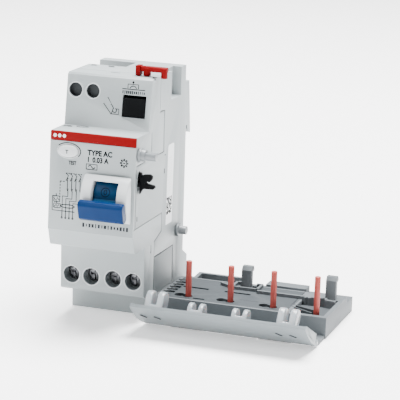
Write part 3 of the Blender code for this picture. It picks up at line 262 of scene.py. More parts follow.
# Grey ink for print; the same ink paints shade in seams, grooves, slots, score lines and the gap round the
# test button.
grey_ink = plastic("grey_ink", (0.018, 0.02, 0.023), 0.7, grain=0.05, drift=0.12, Specular_IOR_Level=0.05)
black_ink = plastic("black_ink", (0.004, 0.0045, 0.005), 0.7, grain=0.05, drift=0.2, Specular_IOR_Level=0.05)
label_paper = plastic("label_film", (0.74, 0.755, 0.765), 0.35, grain=0.04, drift=0.02)
# Dark plastics that paint shade: inside the holes and in the flap's slots.
well_plastic = plastic("well_plastic", (0.030, 0.034, 0.037), 0.6, drift=0.08, Specular_IOR_Level=0.2)
sleeve_plastic = plastic("sleeve_plastic", (0.13, 0.145, 0.152), 0.5, drift=0.08, Specular_IOR_Level=0.3)
print(len(bpy.data.materials), "materials so far")

# %% [markdown]
# The handle is a clear, deep blue. Light gets a little way into it, so the neck behind the grip bar looks
# lighter and greener than the bar. That light is painted into the colour as a painted glow. The mix follows
# the distance from the handle's own axis, which Object coordinates give without any texture.

# %% Handle blue
_, AXIS_Y, AXIS_Z = drawn_middle("handle_pin")
HANDLE_AXIS = at(0, AXIS_Y, AXIS_Z)


def handle_finish():
    finish = Finish("handle_blue", 0.4, 0.0, Specular_IOR_Level=0.08)
    split = finish.add("ShaderNodeSeparateXYZ", {}, {0: finish.place()}, output=1)
    height = finish.add("ShaderNodeSeparateXYZ", {}, {0: finish.place()}, output=2)
    forward = split - HANDLE_AXIS.y
    upward = height - HANDLE_AXIS.z
    radius = (forward * forward + upward * upward) ** 0.5
    # Painted glow: in a band just below the axis the blue is mixed to a lighter, greener colour.
    ledge = finish.add("ShaderNodeMapRange", {"interpolation_type": "SMOOTHSTEP"},
                       {0: height, 1: HANDLE_AXIS.z - 3.6 * MM, 2: HANDLE_AXIS.z - 0.4 * MM, 3: 1.0, 4: 0.0})
    cloud = finish.noise(5 * MM, 2.0)
    deep = finish.mix(cloud, (0.0, 0.018, 0.052, 1.0), (0.0, 0.026, 0.070, 1.0))
    painted_glow = finish.mix(ledge, deep, (0.0, 0.13, 0.20, 1.0))
    bar = finish.mix(cloud, (0.0, 0.013, 0.062, 1.0), (0.0, 0.019, 0.078, 1.0))
    edge = finish.add("ShaderNodeMapRange", {}, {0: radius, 1: 10.0 * MM, 2: 10.8 * MM, 3: 0.0, 4: 1.0})
    finish.feed("Base Color", finish.mix(edge, painted_glow, bar))
    finish.feed("Roughness", cloud * 0.12 + 0.24)
    finish.bump(finish.noise(0.4 * MM), 0.06, 0.03 * MM)
    return finish.material


handle_blue = handle_finish()
print(handle_blue.name)

# %% [markdown]
# ## Metals
#
# Zinc-plated steel has a soft, blotchy sheen. The contact pins are tinned copper seen through a
# red varnish, with fine lines along the drawn wire. The stretch along one axis comes from a
# Mapping node, so the lines run with the pin.


# %% Metals
def metal(name, colour, roughness, stretch=(1.0, 1.0, 1.0), grain=0.6, metallic=1.0, drift=0.12):
    finish = Finish(name, roughness, metallic)
    moved = finish.add("ShaderNodeMapping", {}, {"Vector": finish.place(), "Scale": stretch})
    lines = finish.add("ShaderNodeTexNoise", {}, {"Vector": moved, "Scale": 1 / (grain * MM), "Detail": 3.0})
    cloud = finish.noise(3 * MM, 3.0)
    amount = lines * 0.6 + cloud * 0.4
    finish.feed("Base Color", finish.mix(amount, tint(colour, 1 - drift), tint(colour, 1 + drift)))
    finish.feed("Roughness", amount * 0.25 + (roughness - 0.12))
    finish.bump(lines, 0.15, 0.02 * MM)
    return finish.material


zinc_steel = metal("zinc_steel", (0.55, 0.56, 0.58), 0.34)
dark_steel = metal("dark_steel", (0.16, 0.165, 0.175), 0.38, metallic=0.9)
spring_steel = metal("spring_steel", (0.50, 0.50, 0.51), 0.28, grain=0.3)
bar_copper = metal("bar_copper", (0.70, 0.34, 0.20), 0.32, (1.0, 1.0, 0.15))
winding_copper = metal("winding_copper", (0.66, 0.26, 0.12), 0.3, grain=0.25)
pin_copper = metal("pin_copper", (0.36, 0.05, 0.038), 0.48, (1.0, 1.0, 0.04), 0.5, 0.12, 0.32)
core_metal = metal("core_metal", (0.30, 0.29, 0.28), 0.36, (1.0, 1.0, 6.0), 0.4)
coil_lacquer = metal("coil_lacquer", (0.45, 0.15, 0.04), 0.3, (1.0, 6.0, 1.0), 0.4, 0.5)
board_green = plastic("board_green", (0.02, 0.16, 0.07), 0.32, drift=0.15, Coat_Weight=0.4)
resistor_body = plastic("resistor_body", (0.55, 0.38, 0.22), 0.4)
print("metals ready")

# %% [markdown]
# ## Softened copies of the CAD shells
#
# Real mouldings have no razor edges: every corner has a small radius that catches a thin line of
# light. The CAD meshes are loose triangles with sharp corners. A copy is merged, its flat
# triangles are dissolved into whole faces, small details are carved, and a Bevel modifier rounds
# the edges. `harden_normals` keeps the big faces flat in the light.


# %% Softening and carving
def finished(name, mesh, material, body, stands_for=()):
    """The last step of every piece: an object at the origin with its finish, riding on a body."""
    piece = bpy.data.objects.new(name, mesh)
    bpy.context.scene.collection.objects.link(piece)
    mesh.materials.clear()
    mesh.materials.append(material)
    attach(piece, body)
    if stands_for:
        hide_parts(*stands_for)
    return piece


def evaluated(thing):
    """The object's mesh with its modifiers run, as plain data. The helper object is removed."""
    bpy.context.view_layer.update()
    graph = bpy.context.evaluated_depsgraph_get()
    mesh = bpy.data.meshes.new_from_object(thing.evaluated_get(graph), preserve_all_data_layers=True,
                                           depsgraph=graph)
    bpy.data.objects.remove(thing, do_unlink=True)
    return mesh


def helper(name, mesh):
    thing = bpy.data.objects.new(name, mesh)
    bpy.context.scene.collection.objects.link(thing)
    return thing


def stored(name, mesh):
    """A shape under construction becomes plain mesh data."""
    data = bpy.data.meshes.new(name)
    mesh.to_mesh(data)
    mesh.free()
    return data


def join_rings(mesh, pairs):
    """A strip of faces between each pair of rings of points."""
    for first, second in pairs:
        for side in range(len(first)):
            after = (side + 1) % len(first)
            mesh.faces.new((first[side], first[after], second[after], second[side]))


def plate(name, outline, depths, where):
    """A closed plate: one outline at two depths, joined round its edge."""
    mesh = bmesh.new()
    back, front = [[mesh.verts.new(where(u, v, depth)) for u, v in outline] for depth in depths]
    mesh.faces.new(back)
    mesh.faces.new(front)
    join_rings(mesh, [(back, front)])
    bmesh.ops.recalc_face_normals(mesh, faces=mesh.faces)
    return stored(name, mesh)


def box_into(mesh, low, high):
    """Add a closed box between two places given in metres."""
    size = [abs(b - a) for a, b in zip(low, high)]
    middle = [(a + b) / 2 for a, b in zip(low, high)]
    matrix = Matrix.Translation(middle) @ Matrix.Diagonal((*size, 1.0))
    bmesh.ops.create_cube(mesh, size=1.0, matrix=matrix)


def boxes(name, spans):
    """A mesh of boxes, each given as (x0, x1, y0, y1, z0, z1) on the drawing."""
    mesh = bmesh.new()
    for x0, x1, y0, y1, z0, z1 in spans:
        box_into(mesh, at(x0, y0, z0), at(x1, y1, z1))
    return stored(name, mesh)


WELD = 0.002
FLAT_WITHIN = math.radians(0.4)
ROUNDED_ABOVE = math.radians(35)


def merged_copy(node):
    mesh = bmesh.new()
    mesh.from_mesh(nodes[node].data)
    bmesh.ops.remove_doubles(mesh, verts=mesh.verts, dist=WELD * MM)
    bmesh.ops.dissolve_limit(mesh, angle_limit=FLAT_WITHIN, verts=mesh.verts, edges=mesh.edges)
    return stored(node + "_copy", mesh)


def softened(node, width, material, body, carve=(), segments=2):
    """A copy of a CAD node with carved details and rounded edges, in the node's place."""
    thing = helper(node + "_work", merged_copy(node))
    tool = None
    if carve:
        tool = helper(node + "_carver", boxes(node + "_carver", carve))
        cut = thing.modifiers.new("carve", "BOOLEAN")
        cut.operation = "DIFFERENCE"
        cut.object = tool
    round_edges = thing.modifiers.new("round", "BEVEL")
    round_edges.width = width * MM
    round_edges.segments = segments
    round_edges.limit_method = "ANGLE"
    round_edges.angle_limit = ROUNDED_ABOVE
    round_edges.use_clamp_overlap = True
    round_edges.harden_normals = True
    for polygon in thing.data.polygons:
        polygon.use_smooth = True
    mesh = evaluated(thing)
    if tool:
        bpy.data.objects.remove(tool, do_unlink=True)
    piece = finished(node + "_moulded", mesh, material, body, (node,))
    print(piece.name, len(mesh.polygons), "faces")
    return piece


# %% [markdown]
# ## The case
#
# Two halves of moulded grey plastic meet in a stepped seam. Ejector marks, snap windows and
# small slots show as thin dark lines, so they are carved as real grooves.

# %% Case halves
SIDE = CASE_WIDTH
cover_grooves = [
    (SIDE - 0.5, SIDE + 1, -38.7, -38.35, 14.4, 22.0),
    (SIDE - 0.5, SIDE + 1, -37.2, -36.7, -26.1, -22.9),
    (SIDE - 1.4, SIDE + 1, -37.3, -35.6, TOP - 0.9, TOP + 1),
    (15.0, 18.9, -32.4, -31.6, TOP - 0.6, TOP + 1),
]
base_grooves = [
    (SIDE - 0.5, SIDE + 1, -24.35, -24.0, 3.0, 5.2),
    (SIDE - 0.5, SIDE + 1, -52.95, -52.6, -9.9, -7.7),
    (SIDE - 0.5, SIDE + 1, -23.4, -22.8, 10.1, 10.7),
    (2.0, 4.6, -21.6, -20.6, TOP - 0.8, TOP + 1),
    (9.5, 12.1, -21.3, -20.3, TOP - 0.8, TOP + 1),
]
softened("front_cover", 0.22, housing_plastic, "case", cover_grooves)
softened("base_shell", 0.25, housing_plastic, "case", base_grooves)
softened("wire_exit_cover", 0.12, cover_plastic, "case")
softened("colour_band", 0.12, red_plastic, "case")
softened("rail_clip", 0.3, black_plastic, "foot_body")
softened("locating_pin", 0.2, shaft_plastic, "case")

# %% [markdown]
# ## Handle, buttons and couplings
#
# These are what a hand or the neighbouring breaker touches, so their edges are rounder than the
# case's.

# %% Handle and buttons
softened("toggle_frame", 0.45, frame_and_highlight_plastic, "case", segments=3)
softened("handle", 0.5, handle_blue, "handle_body", segments=3)
softened("release_button", 0.25, black_plastic, "release_body")
softened("coupling_clip", 0.3, red_plastic, "clip_body", segments=3)
fork_tips = [(SIDE + 0.9, SIDE + 9, -60, -40, -20, 20)]
softened("drive_fork", 0.2, black_plastic, "fork_body", fork_tips)
softened("trip_shaft", 0.18, shaft_plastic, "shaft_body")

# %% [markdown]
# ## Tray and flap

# %% Tray and flap
softened("tray_base", 0.2, tray_plastic, "case")
softened("tray_cover", 0.15, plate_plastic, "case")
softened("terminal_flap", 0.2, flap_plastic, "flap_body")
for number in range(1, 5):
    softened("flap_plug_%d" % number, 0.45, plug_plastic, "flap_body", segments=3)
    softened("contact_pin_%d" % number, 0.2, pin_copper, "case")

# %% [markdown]
# ## Terminals
#
# Each screw sits deep in its hole. A second slot crosses the first one, as on a combination head.

# %% Screws
SLOT_REACH = 2.2
SLOT_HALF = 0.45
SLOT_DEPTH = 0.8
SCREWS = ["terminal_screw_%d" % number for number in range(1, 5)]
TERMINALS = [drawn_middle(screw)[0] for screw in SCREWS]
TERMINAL_Z = drawn_middle(SCREWS[0])[2]
HEAD_FRONT = round_mm(drawn_box(SCREWS[0])[0].y)
for number, (screw, middle) in enumerate(zip(SCREWS, TERMINALS), 1):
    cross = [(middle - SLOT_REACH, middle + SLOT_REACH, HEAD_FRONT - 1, HEAD_FRONT + SLOT_DEPTH,
              TERMINAL_Z - SLOT_HALF, TERMINAL_Z + SLOT_HALF)]
    softened(screw, 0.15, dark_steel, "screw_body_%d" % number, cross)
print("terminals at", TERMINALS)

# %% [markdown]
# ## A pen made of Geometry Nodes
#
# The printed diagrams are thin lines of ink. A Geometry Nodes tree turns the edges of a flat
# drawing into lines of ink: Mesh to Curve, then Curve to Mesh with a small round profile. The
# tree has named inputs for the line's width and its ink. The result is pressed flat and laid on
# the face with one of the placing functions, so a drawing can also bend round the handle.


# %% The pen tree
def tree_input(tree, name, kind, value=None):
    socket = tree.interface.new_socket(name=name, in_out="INPUT", socket_type=kind)
    if value is not None:
        socket.default_value = value
    return socket


def node_in(tree, kind, inputs=None, **settings):
    node = tree.nodes.new(kind)
    for key, value in settings.items():
        setattr(node, key, value)
    for key, value in (inputs or {}).items():
        if isinstance(value, bpy.types.NodeSocket):
            tree.links.new(value, node.inputs[key])
        else:
            node.inputs[key].default_value = value
    return node


def new_tree(name):
    tree = bpy.data.node_groups.new(name, "GeometryNodeTree")
    tree.interface.new_socket(name="Geometry", in_out="OUTPUT", socket_type="NodeSocketGeometry")
    return tree


def close_tree(tree, geometry, material):
    """Every tree ends the same way: real geometry with a material."""
    real = node_in(tree, "GeometryNodeRealizeInstances", {0: geometry})
    painted = node_in(tree, "GeometryNodeSetMaterial", {"Geometry": real.outputs[0], "Material": material})
    out = tree.nodes.new("NodeGroupOutput")
    tree.links.new(painted.outputs[0], out.inputs[0])


def pen_tree():
    tree = new_tree("pen_line")
    tree_input(tree, "Drawing", "NodeSocketGeometry")
    tree_input(tree, "Line Width", "NodeSocketFloat", 0.2)
    tree_input(tree, "Ink", "NodeSocketMaterial")
    given = tree.nodes.new("NodeGroupInput")
    path = node_in(tree, "GeometryNodeMeshToCurve", {0: given.outputs["Drawing"]})
    half = node_in(tree, "ShaderNodeMath", {0: given.outputs["Line Width"], 1: 0.5}, operation="MULTIPLY")
    nib = node_in(tree, "GeometryNodeCurvePrimitiveCircle", {"Resolution": 6, "Radius": half.outputs[0]})
    line = node_in(tree, "GeometryNodeCurveToMesh", {0: path.outputs[0], 1: nib.outputs[0],
                                                     "Fill Caps": True})
    close_tree(tree, line.outputs[0], given.outputs["Ink"])
    return tree


PEN = pen_tree()


def run_tree(name, tree, mesh, **inputs):
    """Run a tree on a mesh, with its inputs given by name, and return the finished mesh."""
    thing = helper(name + "_work", mesh)
    modifier = thing.modifiers.new("make", "NODES")
    modifier.node_group = tree
    for item in tree.interface.items_tree:
        if item.in_out == "INPUT" and item.name.replace(" ", "_") in inputs:
            modifier[item.identifier] = inputs[item.name.replace(" ", "_")]
    return evaluated(thing)


PRESS = 0.3


def lay(mesh, where, press=1.0, lift=0.0):
    """Move a flat drawing in millimetres on to a face of the object."""
    for vertex in mesh.vertices:
        u, v, h = vertex.co
        vertex.co = where(u, v, h * press + lift)
    mesh.update()
    work = bmesh.new()
    work.from_mesh(mesh)
    bmesh.ops.recalc_face_normals(work, faces=work.faces)
    work.to_mesh(mesh)
    work.free()
    return mesh


def pen_drawn(name, strokes, where, width=0.22, ink=None, body="case"):
    """Lines of ink or of painted highlight and painted shade. Each stroke is a list of (u, v) places that one
    line joins.
    """
    ink = ink or black_ink
    points = []
    edges = []
    for stroke in strokes:
        start = len(points)
        points += [(u, v, 0.0) for u, v in stroke]
        edges += [(start + step, start + step + 1) for step in range(len(stroke) - 1)]
    drawing = bpy.data.meshes.new(name)
    drawing.from_pydata(points, edges, [])
    mesh = run_tree(name, PEN, drawing, Line_Width=width, Ink=ink)
    lay(mesh, where, PRESS)
    piece = finished(name, mesh, ink, body)
    print(name, len(strokes), "strokes")
    return piece


def loop(stroke):
    return [*stroke, stroke[0]]


def rectangle(u0, u1, v0, v1):
    return loop([(u0, v0), (u1, v0), (u1, v1), (u0, v1)])


def arc(u, v, radius, start=0.0, sweep=360.0, steps=16, tall=1.0):
    turns = [math.radians(start + sweep * step / steps) for step in range(steps + 1)]
    return [(u + radius * math.cos(turn), v + radius * tall * math.sin(turn)) for turn in turns]


def dashed(start, end, dash, space):
    """A straight line as short strokes."""
    length = math.dist(start, end)
    strokes = []
    along = 0.0
    while along < length:
        stop = min(along + dash, length)
        strokes.append([tuple(a + (b - a) * share / length for a, b in zip(start, end))
                        for share in (along, stop)])
        along += dash + space
    return strokes


# %% [markdown]
# ## Lettering
#
# Only plain, general words are set: the word TEST, the kind of current and the trip current. A
# text object is filled and given a hair of thickness, made into a mesh and laid on its face.


# %% Lettering
SIZE_PER_CAPITAL = 1.38
INK_THICK = 0.05


def lettered(name, words, centre, height, where, ink=None, body="case", wide=1.0,
             weight=0.05):
    ink = ink or black_ink
    curve = bpy.data.curves.new(name, "FONT")
    curve.body = words
    curve.size = height * SIZE_PER_CAPITAL
    curve.extrude = INK_THICK
    curve.offset = weight * height
    curve.resolution_u = 3
    curve.align_x = "CENTER"
    curve.align_y = "CENTER"
    mesh = evaluated(helper(name + "_work", curve))
    middle_u, middle_v = centre
    for vertex in mesh.vertices:
        vertex.co.x = vertex.co.x * wide + middle_u
        vertex.co.y += middle_v
    work = bmesh.new()
    work.from_mesh(mesh)
    bmesh.ops.remove_doubles(work, verts=work.verts, dist=0.0005)
    work.to_mesh(mesh)
    work.free()
    lay(mesh, where)
    piece = finished(name, mesh, ink, body)
    print(name, repr(words))
    return piece


lettered("print_test", "TEST", (9.4, 11.0), 1.45, on_nose, wide=0.72, weight=0.045)
lettered("print_current_kind", "TYPE AC", (20.5, 15.6), 2.05, on_nose, wide=0.92)
lettered("print_trip_current", "I  0.03 A", (19.8, 12.95), 2.0, on_nose, wide=0.88)
BUTTON_RISE = 1.15
lettered("button_letter", "T", (7.4, 15.3), 1.4, lambda u, v, h: on_nose(u, v, h + BUTTON_RISE), grey_ink,
         "test_body")

# %% [markdown]
# ## The wiring diagram
#
# Four lines with a contact each, a summation transformer round them and a test branch: the
# standard symbol for this kind of switch, drawn with loops because the four poles repeat.

# %% Wiring diagram
POLES = 4
UPPER_LEFT = 7.9
UPPER_PITCH = 1.75
LOWER_LEFT = 5.7
LOWER_PITCH = 1.48
diagram = []
for pole in range(POLES):
    upper = UPPER_LEFT + pole * UPPER_PITCH
    lower = LOWER_LEFT + pole * LOWER_PITCH
    knee = -2.1 - pole * 0.85
    diagram.append([(upper - 1.0, 6.9), (upper, 6.0), (upper - 0.9, 3.9)])
    diagram.append([(upper - 0.3, 4.6), (upper - 0.3, 0.3), (upper, -0.1), (upper, knee), (lower, knee),
                    (lower, -10.2)])
    diagram.append([(upper - 0.5, 0.9), (upper, 0.2), (upper + 0.1, 1.0)])
    diagram.append([(upper - 0.55, 4.9), (upper + 0.1, 4.9)])
    diagram.append(arc(lower, -10.5, 0.28, steps=6))
diagram += dashed((6.9, 6.9), (13.8, 6.9), 0.6, 0.4)
diagram += dashed((4.6, 3.6), (6.8, 3.6), 0.7, 0.45)
diagram += dashed((4.6, 3.6), (4.6, -2.1), 0.7, 0.45)
diagram.append(arc(LOWER_LEFT + 2.2, -5.9, 2.9, steps=20, tall=0.22))
diagram.append([(1.6, -2.3), (1.6, -7.9), (10.9, -7.9)])
diagram.append([(1.6, -2.3), (4.9, -2.3)])
diagram.append(rectangle(2.2, 4.6, -4.5, -2.3))
diagram.append([(2.0, -3.0), (3.2, -4.2), (3.6, -2.9), (4.4, -3.9)])
diagram.append(rectangle(2.2, 4.9, -6.8, -5.2))
diagram.append([(2.5, -6.4), (3.2, -5.6), (3.6, -6.4), (4.4, -5.6)])
diagram.append([(3.4, -4.5), (3.4, -5.2)])
diagram.append([(3.1, -1.3), (3.1, -2.3)])
pen_drawn("print_wiring_diagram", diagram, on_nose, 0.34)

# %% [markdown]
# ## Small symbols
#
# The framed sine says alternating current, the star says that the switch works in the cold, and
# the hand shows where to press. All are drawn from straight strokes and arcs.

# %% Symbols
sine = [(15.9 + 0.235 * step, 10.3 + 0.6 * math.sin(math.tau * step / 12)) for step in range(13)]
pen_drawn("print_sine_frame", [rectangle(15.1, 19.5, 9.3, 11.3), sine], on_nose, 0.36)
STAR = (30.4, 13.0)
star = [arc(*STAR, 1.05, steps=12)]
for ray in range(8):
    turn = math.tau * ray / 8
    out = [(STAR[0] + reach * math.cos(turn), STAR[1] + reach * math.sin(turn)) for reach in (1.25, 1.75)]
    side = [(STAR[0] + 1.5 * math.cos(turn + bend), STAR[1] + 1.5 * math.sin(turn + bend))
            for bend in (-0.25, 0.25)]
    star += [out, side]
star.append([(STAR[0] - 0.5, STAR[1]), (STAR[0] + 0.5, STAR[1])])
pen_drawn("print_cold_star", star, on_nose, 0.36)
finger = [
    [(15.6, 32.2), (18.9, 28.4), (22.0, 28.4), (22.0, 30.4), (21.0, 30.4)],
    [(17.2, 34.6), (19.2, 31.6), (18.6, 31.9)],
    [(19.2, 31.6), (19.9, 30.4)],
    arc(20.3, 29.8, 0.8, 130, 300, 10),
    [(18.9, 28.4), (19.6, 29.6)],
]
pen_drawn("print_press_here", finger, on_upper, 0.34)
breaker = [
    [(25.1, 38.6), (25.1, 40.2), (29.4, 40.2), (29.4, 38.6)],
    arc(27.3, 38.6, 1.3, 0, 180, 8, 0.75),
    [(27.2, 40.2), (27.2, 41.4)],
    [(26.8, 40.8), (27.2, 41.4), (27.6, 40.8)],
    [(22.8, 38.3), (32.2, 38.3)],
]
pen_drawn("print_breaker_sign", breaker, on_upper, 0.34)
ledge_lines = [[(1.0, -45.7), (4.4, -44.2)], [(1.0, -44.9), (3.6, -43.7)], [(3.0, -45.6), (4.6, -44.9)]]
pen_drawn("print_ledge_oval", [arc(8.3, -43.4, 2.4, tall=0.45), *ledge_lines], on_ledge, 0.5, grey_ink)
# Painted highlight: a small white dot for the light on a nub of the ledge.
pen_drawn("ledge_nub", [arc(20.6, -40.3, 0.2, steps=8)], on_ledge, 0.4, white_ink)

# %% [markdown]
# ## Rows of marks
#
# Where a product would carry its code, this one has rows of plain marks. They repeat, so a second
# Geometry Nodes tree sets small tiles on a line of points. A fixed seed gives each tile its own
# width, which reads as a code without being one.


# %% The row tree
def row_tree():
    tree = new_tree("mark_row")
    tree_input(tree, "Line", "NodeSocketGeometry")
    tree_input(tree, "Mark Width", "NodeSocketFloat", 0.5)
    tree_input(tree, "Mark Height", "NodeSocketFloat", 1.4)
    tree_input(tree, "Seed", "NodeSocketInt", 1)
    tree_input(tree, "Ink", "NodeSocketMaterial")
    given = tree.nodes.new("NodeGroupInput")
    tile = node_in(tree, "GeometryNodeMeshCube", {"Size": (1.0, 1.0, 0.1)})
    wide = node_in(tree, "FunctionNodeRandomValue", {"Min": (0.35, 0.55, 1.0), "Max": (1.0, 1.0, 1.0),
                                                    "Seed": given.outputs["Seed"]}, data_type="FLOAT_VECTOR")
    size = node_in(tree, "ShaderNodeCombineXYZ", {0: given.outputs["Mark Width"],
                                                  1: given.outputs["Mark Height"], 2: 1.0})
    scale = node_in(tree, "ShaderNodeVectorMath", {0: wide.outputs[0], 1: size.outputs[0]},
                    operation="MULTIPLY")
    spots = node_in(tree, "GeometryNodeMeshToPoints", {0: given.outputs["Line"]})
    placed = node_in(tree, "GeometryNodeInstanceOnPoints", {
        "Points": spots.outputs[0], "Instance": tile.outputs[0], "Scale": scale.outputs[0]})
    close_tree(tree, placed.outputs[0], given.outputs["Ink"])
    return tree


ROW = row_tree()


def marks(name, spots, where, width, height, seed, ink=None):
    ink = ink or grey_ink
    points = bpy.data.meshes.new(name)
    points.from_pydata([(u, v, 0.0) for u, v in spots], [], [])
    mesh = run_tree(name, ROW, points, Mark_Width=width, Mark_Height=height, Seed=seed, Ink=ink)
    lay(mesh, where)
    piece = finished(name, mesh, ink, "case")
    print(name, len(spots), "marks")
    return piece


marks("print_code_row", [(14.7 + 1.28 * step, -12.3) for step in range(15)], on_nose, 0.95, 1.7, 4, grey_ink)
marks("print_sign_row", [(23.2 + 0.79 * step, 37.1) for step in range(12)], on_upper, 0.6, 1.4, 7)
pen_drawn("band_dots", [arc(1.9 + 1.9 * step, 21.1, 0.42, steps=12) for step in range(3)], on_nose, 0.55,
      white_ink)

# %% [markdown]
# ## Painted highlights and shade round the holes
#
# A moulded hole has a thin bright lip where the light catches its rounded edge. That lip is a painted
# highlight: a ring of light plastic drawn with the pen tree again. The terminal holes sit in the lower front,
# which is flat and upright.

# %% Painted highlight rims and shade sleeves
LOWER_FRONT = -43.8
WELLS = ((3.7, 36.3), (10.9, 36.3))


def on_lower(u, v, h):
    return at(u, LOWER_FRONT - h, v)


# Painted highlights: bright rings of light plastic round the wells and the terminal holes.
pen_drawn("well_rims", [arc(u, v, 2.95, steps=32) for u, v in WELLS], on_upper, 0.45, frame_and_highlight_plastic)
pen_drawn("terminal_rims", [arc(u, TERMINAL_Z, 3.58, steps=36) for u in TERMINALS], on_lower, 0.45,
      frame_and_highlight_plastic)


SLEEVE_WALL = 0.12
SLEEVE_FLOOR = 0.15


def painted_shade_lining(name, centres, radius, front, depth, material, floor=True):
    """Thin dark sleeves in round holes, painted shade for their insides, closed at the bottom where asked.
    They are lathed by rings.
    """
    mesh = bmesh.new()
    sides = 28
    turns = [math.tau * side / sides for side in range(sides)]
    inner = radius - SLEEVE_WALL
    profile = [(radius, 0.0), (radius, depth)]
    if floor:
        profile += [(0.05, depth), (0.05, depth - SLEEVE_FLOOR), (inner, depth - SLEEVE_FLOOR), (inner, 0.0)]
    else:
        profile += [(inner, depth), (inner, 0.0)]
    for x, z in centres:
        rings = []
        for reach, inward in profile:
            rings.append([mesh.verts.new(at(x + reach * math.cos(turn), front(z) + inward,
                                            z + reach * math.sin(turn))) for turn in turns])
        join_rings(mesh, zip(rings, rings[1:] + rings[:1]))
    bmesh.ops.recalc_face_normals(mesh, faces=mesh.faces)
    print(name, len(centres), "sleeves")
    return finished(name, stored(name, mesh), material, "case")


# Painted shade: dark sleeves line the wells and the terminal holes, whose insides are in shade.
painted_shade_lining("well_sleeves", WELLS, 2.72, lambda z: upper_front(z) + 0.45, 2.0, well_plastic)
painted_shade_lining("terminal_sleeves", [(u, TERMINAL_Z) for u in TERMINALS], 3.37, lambda z: LOWER_FRONT + 0.3, 3.2,
       sleeve_plastic, False)

# %% [markdown]
# The seams between the mouldings, the grooves on the side and the small slots on the top lie in shade and
# read as dark lines. That shade is painted: they are drawn with the same pen in grey ink.

# %% Painted shade in seams and slots


def on_top(u, v, h):
    return at(u, v, TOP + h)


seams = [
    [(-29.2, 28.9), (-25.3, 28.4), (-25.5, 12.1)],
    [(-30.6, 12.0), (-25.6, 12.1)],
    [(-38.6, 22.2), (-38.3, 14.8)],
    [(-54.1, 10.6), (-54.3, -12.0)],
    [(-25.8, -13.0), (-25.9, -19.8), (-33.7, -22.4)],
    [(-33.3, -28.5), (-12.2, -28.9), (-11.2, -43.2)],
]
dashes = [[(-23.9, 5.0), (-23.7, 3.1)], [(-52.7, -7.9), (-52.6, -9.7)], [(-23.6, 10.6), (-23.5, 10.3)],
          [(-37.0, -25.4), (-37.2, -26.1)]]
pen_drawn("side_seams", seams, on_right_side, 0.24, grey_ink)
pen_drawn("side_dashes", dashes, on_right_side, 0.5, grey_ink)
slots = [[(1.6, -19.0), (3.8, -19.2)], [(9.0, -19.6), (11.4, -19.8)], [(33.8, -36.0), (34.6, -35.4)]]
pen_drawn("top_slots", slots, on_top, 0.9, grey_ink)

# %% [markdown]
# ## Inside the tray
#
# The open end of the tray holds a shelf over the fourth lead, two thin guide ribs and a wavy wall
# that stiffens the rear. Round the first latch post stands a low frame. All of these are ribs: a
# path with a thickness and a height, so one function makes them.


# %% Tray ribs
def ribs(name, paths, low, high, thick, material, body="case"):
    """Upright walls along flat paths, each a run of boxes turned to its stretch."""
    mesh = bmesh.new()
    for path in paths:
        for (x0, y0), (x1, y1) in zip(path, path[1:]):
            start = at(x0, y0, low)
            end = at(x1, y1, low)
            length = (end - start).length + thick * MM
            middle = (start + end) / 2
            middle.z = (low + high) / 2 * MM
            turn = Matrix.Rotation(math.atan2(y1 - y0, x1 - x0), 4, "Z")
            size = Matrix.Diagonal((length, thick * MM, (high - low) * MM, 1.0))
            bmesh.ops.create_cube(mesh, size=1.0, matrix=Matrix.Translation(middle) @ turn @ size)
    thing = helper(name + "_work", stored(name, mesh))
    edge = thing.modifiers.new("round", "BEVEL")
    edge.width = 0.12 * MM
    edge.segments = 2
    piece = finished(name, evaluated(thing), material, body)
    print(name, sum(len(path) - 1 for path in paths), "stretches")
    return piece


TRAY_TOP = round_mm(drawn_box("tray_cover")[1].z)
shelf = [
    (88.5, 97.6, -29.5, -13.2, -47.1, -46.6),
    (97.6, 103.0, -29.5, -28.4, -47.1, -46.6),
    (97.6, 103.0, -24.2, -13.2, -47.1, -46.6),
]
finished("tray_shelf", boxes("tray_shelf", shelf), plate_plastic, "case")
guides = [[(89.0, -22.4), (98.0, -27.4)], [(89.0, -20.0), (97.6, -23.4)], [(88.9, -12.8), (88.0, -29.5)]]
ribs("tray_guide_ribs", guides, -46.8, TRAY_TOP + 0.1, 0.7, plate_plastic)
wave = [(71.4, -11.4), (90.4, -11.4), (91.2, -12.2), (92.8, -12.2), (93.6, -11.4), (99.0, -10.0),
        (99.8, -12.6), (103.2, -13.0)]
ribs("tray_wavy_wall", [wave[:3], wave[3:]], -47.2, TRAY_TOP + 1.3, 1.0, tray_plastic)
post_frame = [(61.6, -2.6), (60.0, -2.6), (60.0, -9.6), (70.4, -9.6), (70.4, -2.6), (68.6, -2.6)]
ribs("latch_post_frame", [post_frame, [(54.6, -6.6), (60.0, -9.6)]], TRAY_TOP - 0.5, TRAY_TOP + 1.3, 0.9,
     tray_plastic)

# %% [markdown]
# The four leads run out from under the case and through a comb at the tray's left edge. Between
# the teeth they show as a fan of short black ends.

# %% Leads in the comb
COMB_PITCH = 3.5


def on_tray(u, v, h):
    return at(u, v, TRAY_TOP + h)


fan = [[(36.0, -24.0 + COMB_PITCH * tooth), (38.4 + 0.9 * (tooth % 2), -23.2 + COMB_PITCH * tooth)]
       for tooth in range(6)]
pen_drawn("lead_fan", fan, on_tray, 1.5, insulation)
# Painted shade: the score lines on the tray's top are thin dark lines for the shade in their grooves.
scores = [[(67.6, -22.6), (80.0, -22.6)], [(55.7, -30.0), (55.7, -31.6)]]
pen_drawn("tray_scores", scores, on_tray, 0.16, grey_ink)

# %% [markdown]
# The flap has two pairs of slots where its plugs clip in. Their shade is painted: dark marks on its outer
# face, which leans with the flap.

# %% Painted shade in the flap's slots
HINGE = drawn_middle("flap_hinge_pin")[1:]
FLAP_TILT = math.radians(34.0)
FLAP_LENGTH = 20.6
FLAP_BULGE = 1.3
FLAP_THICK = 1.2


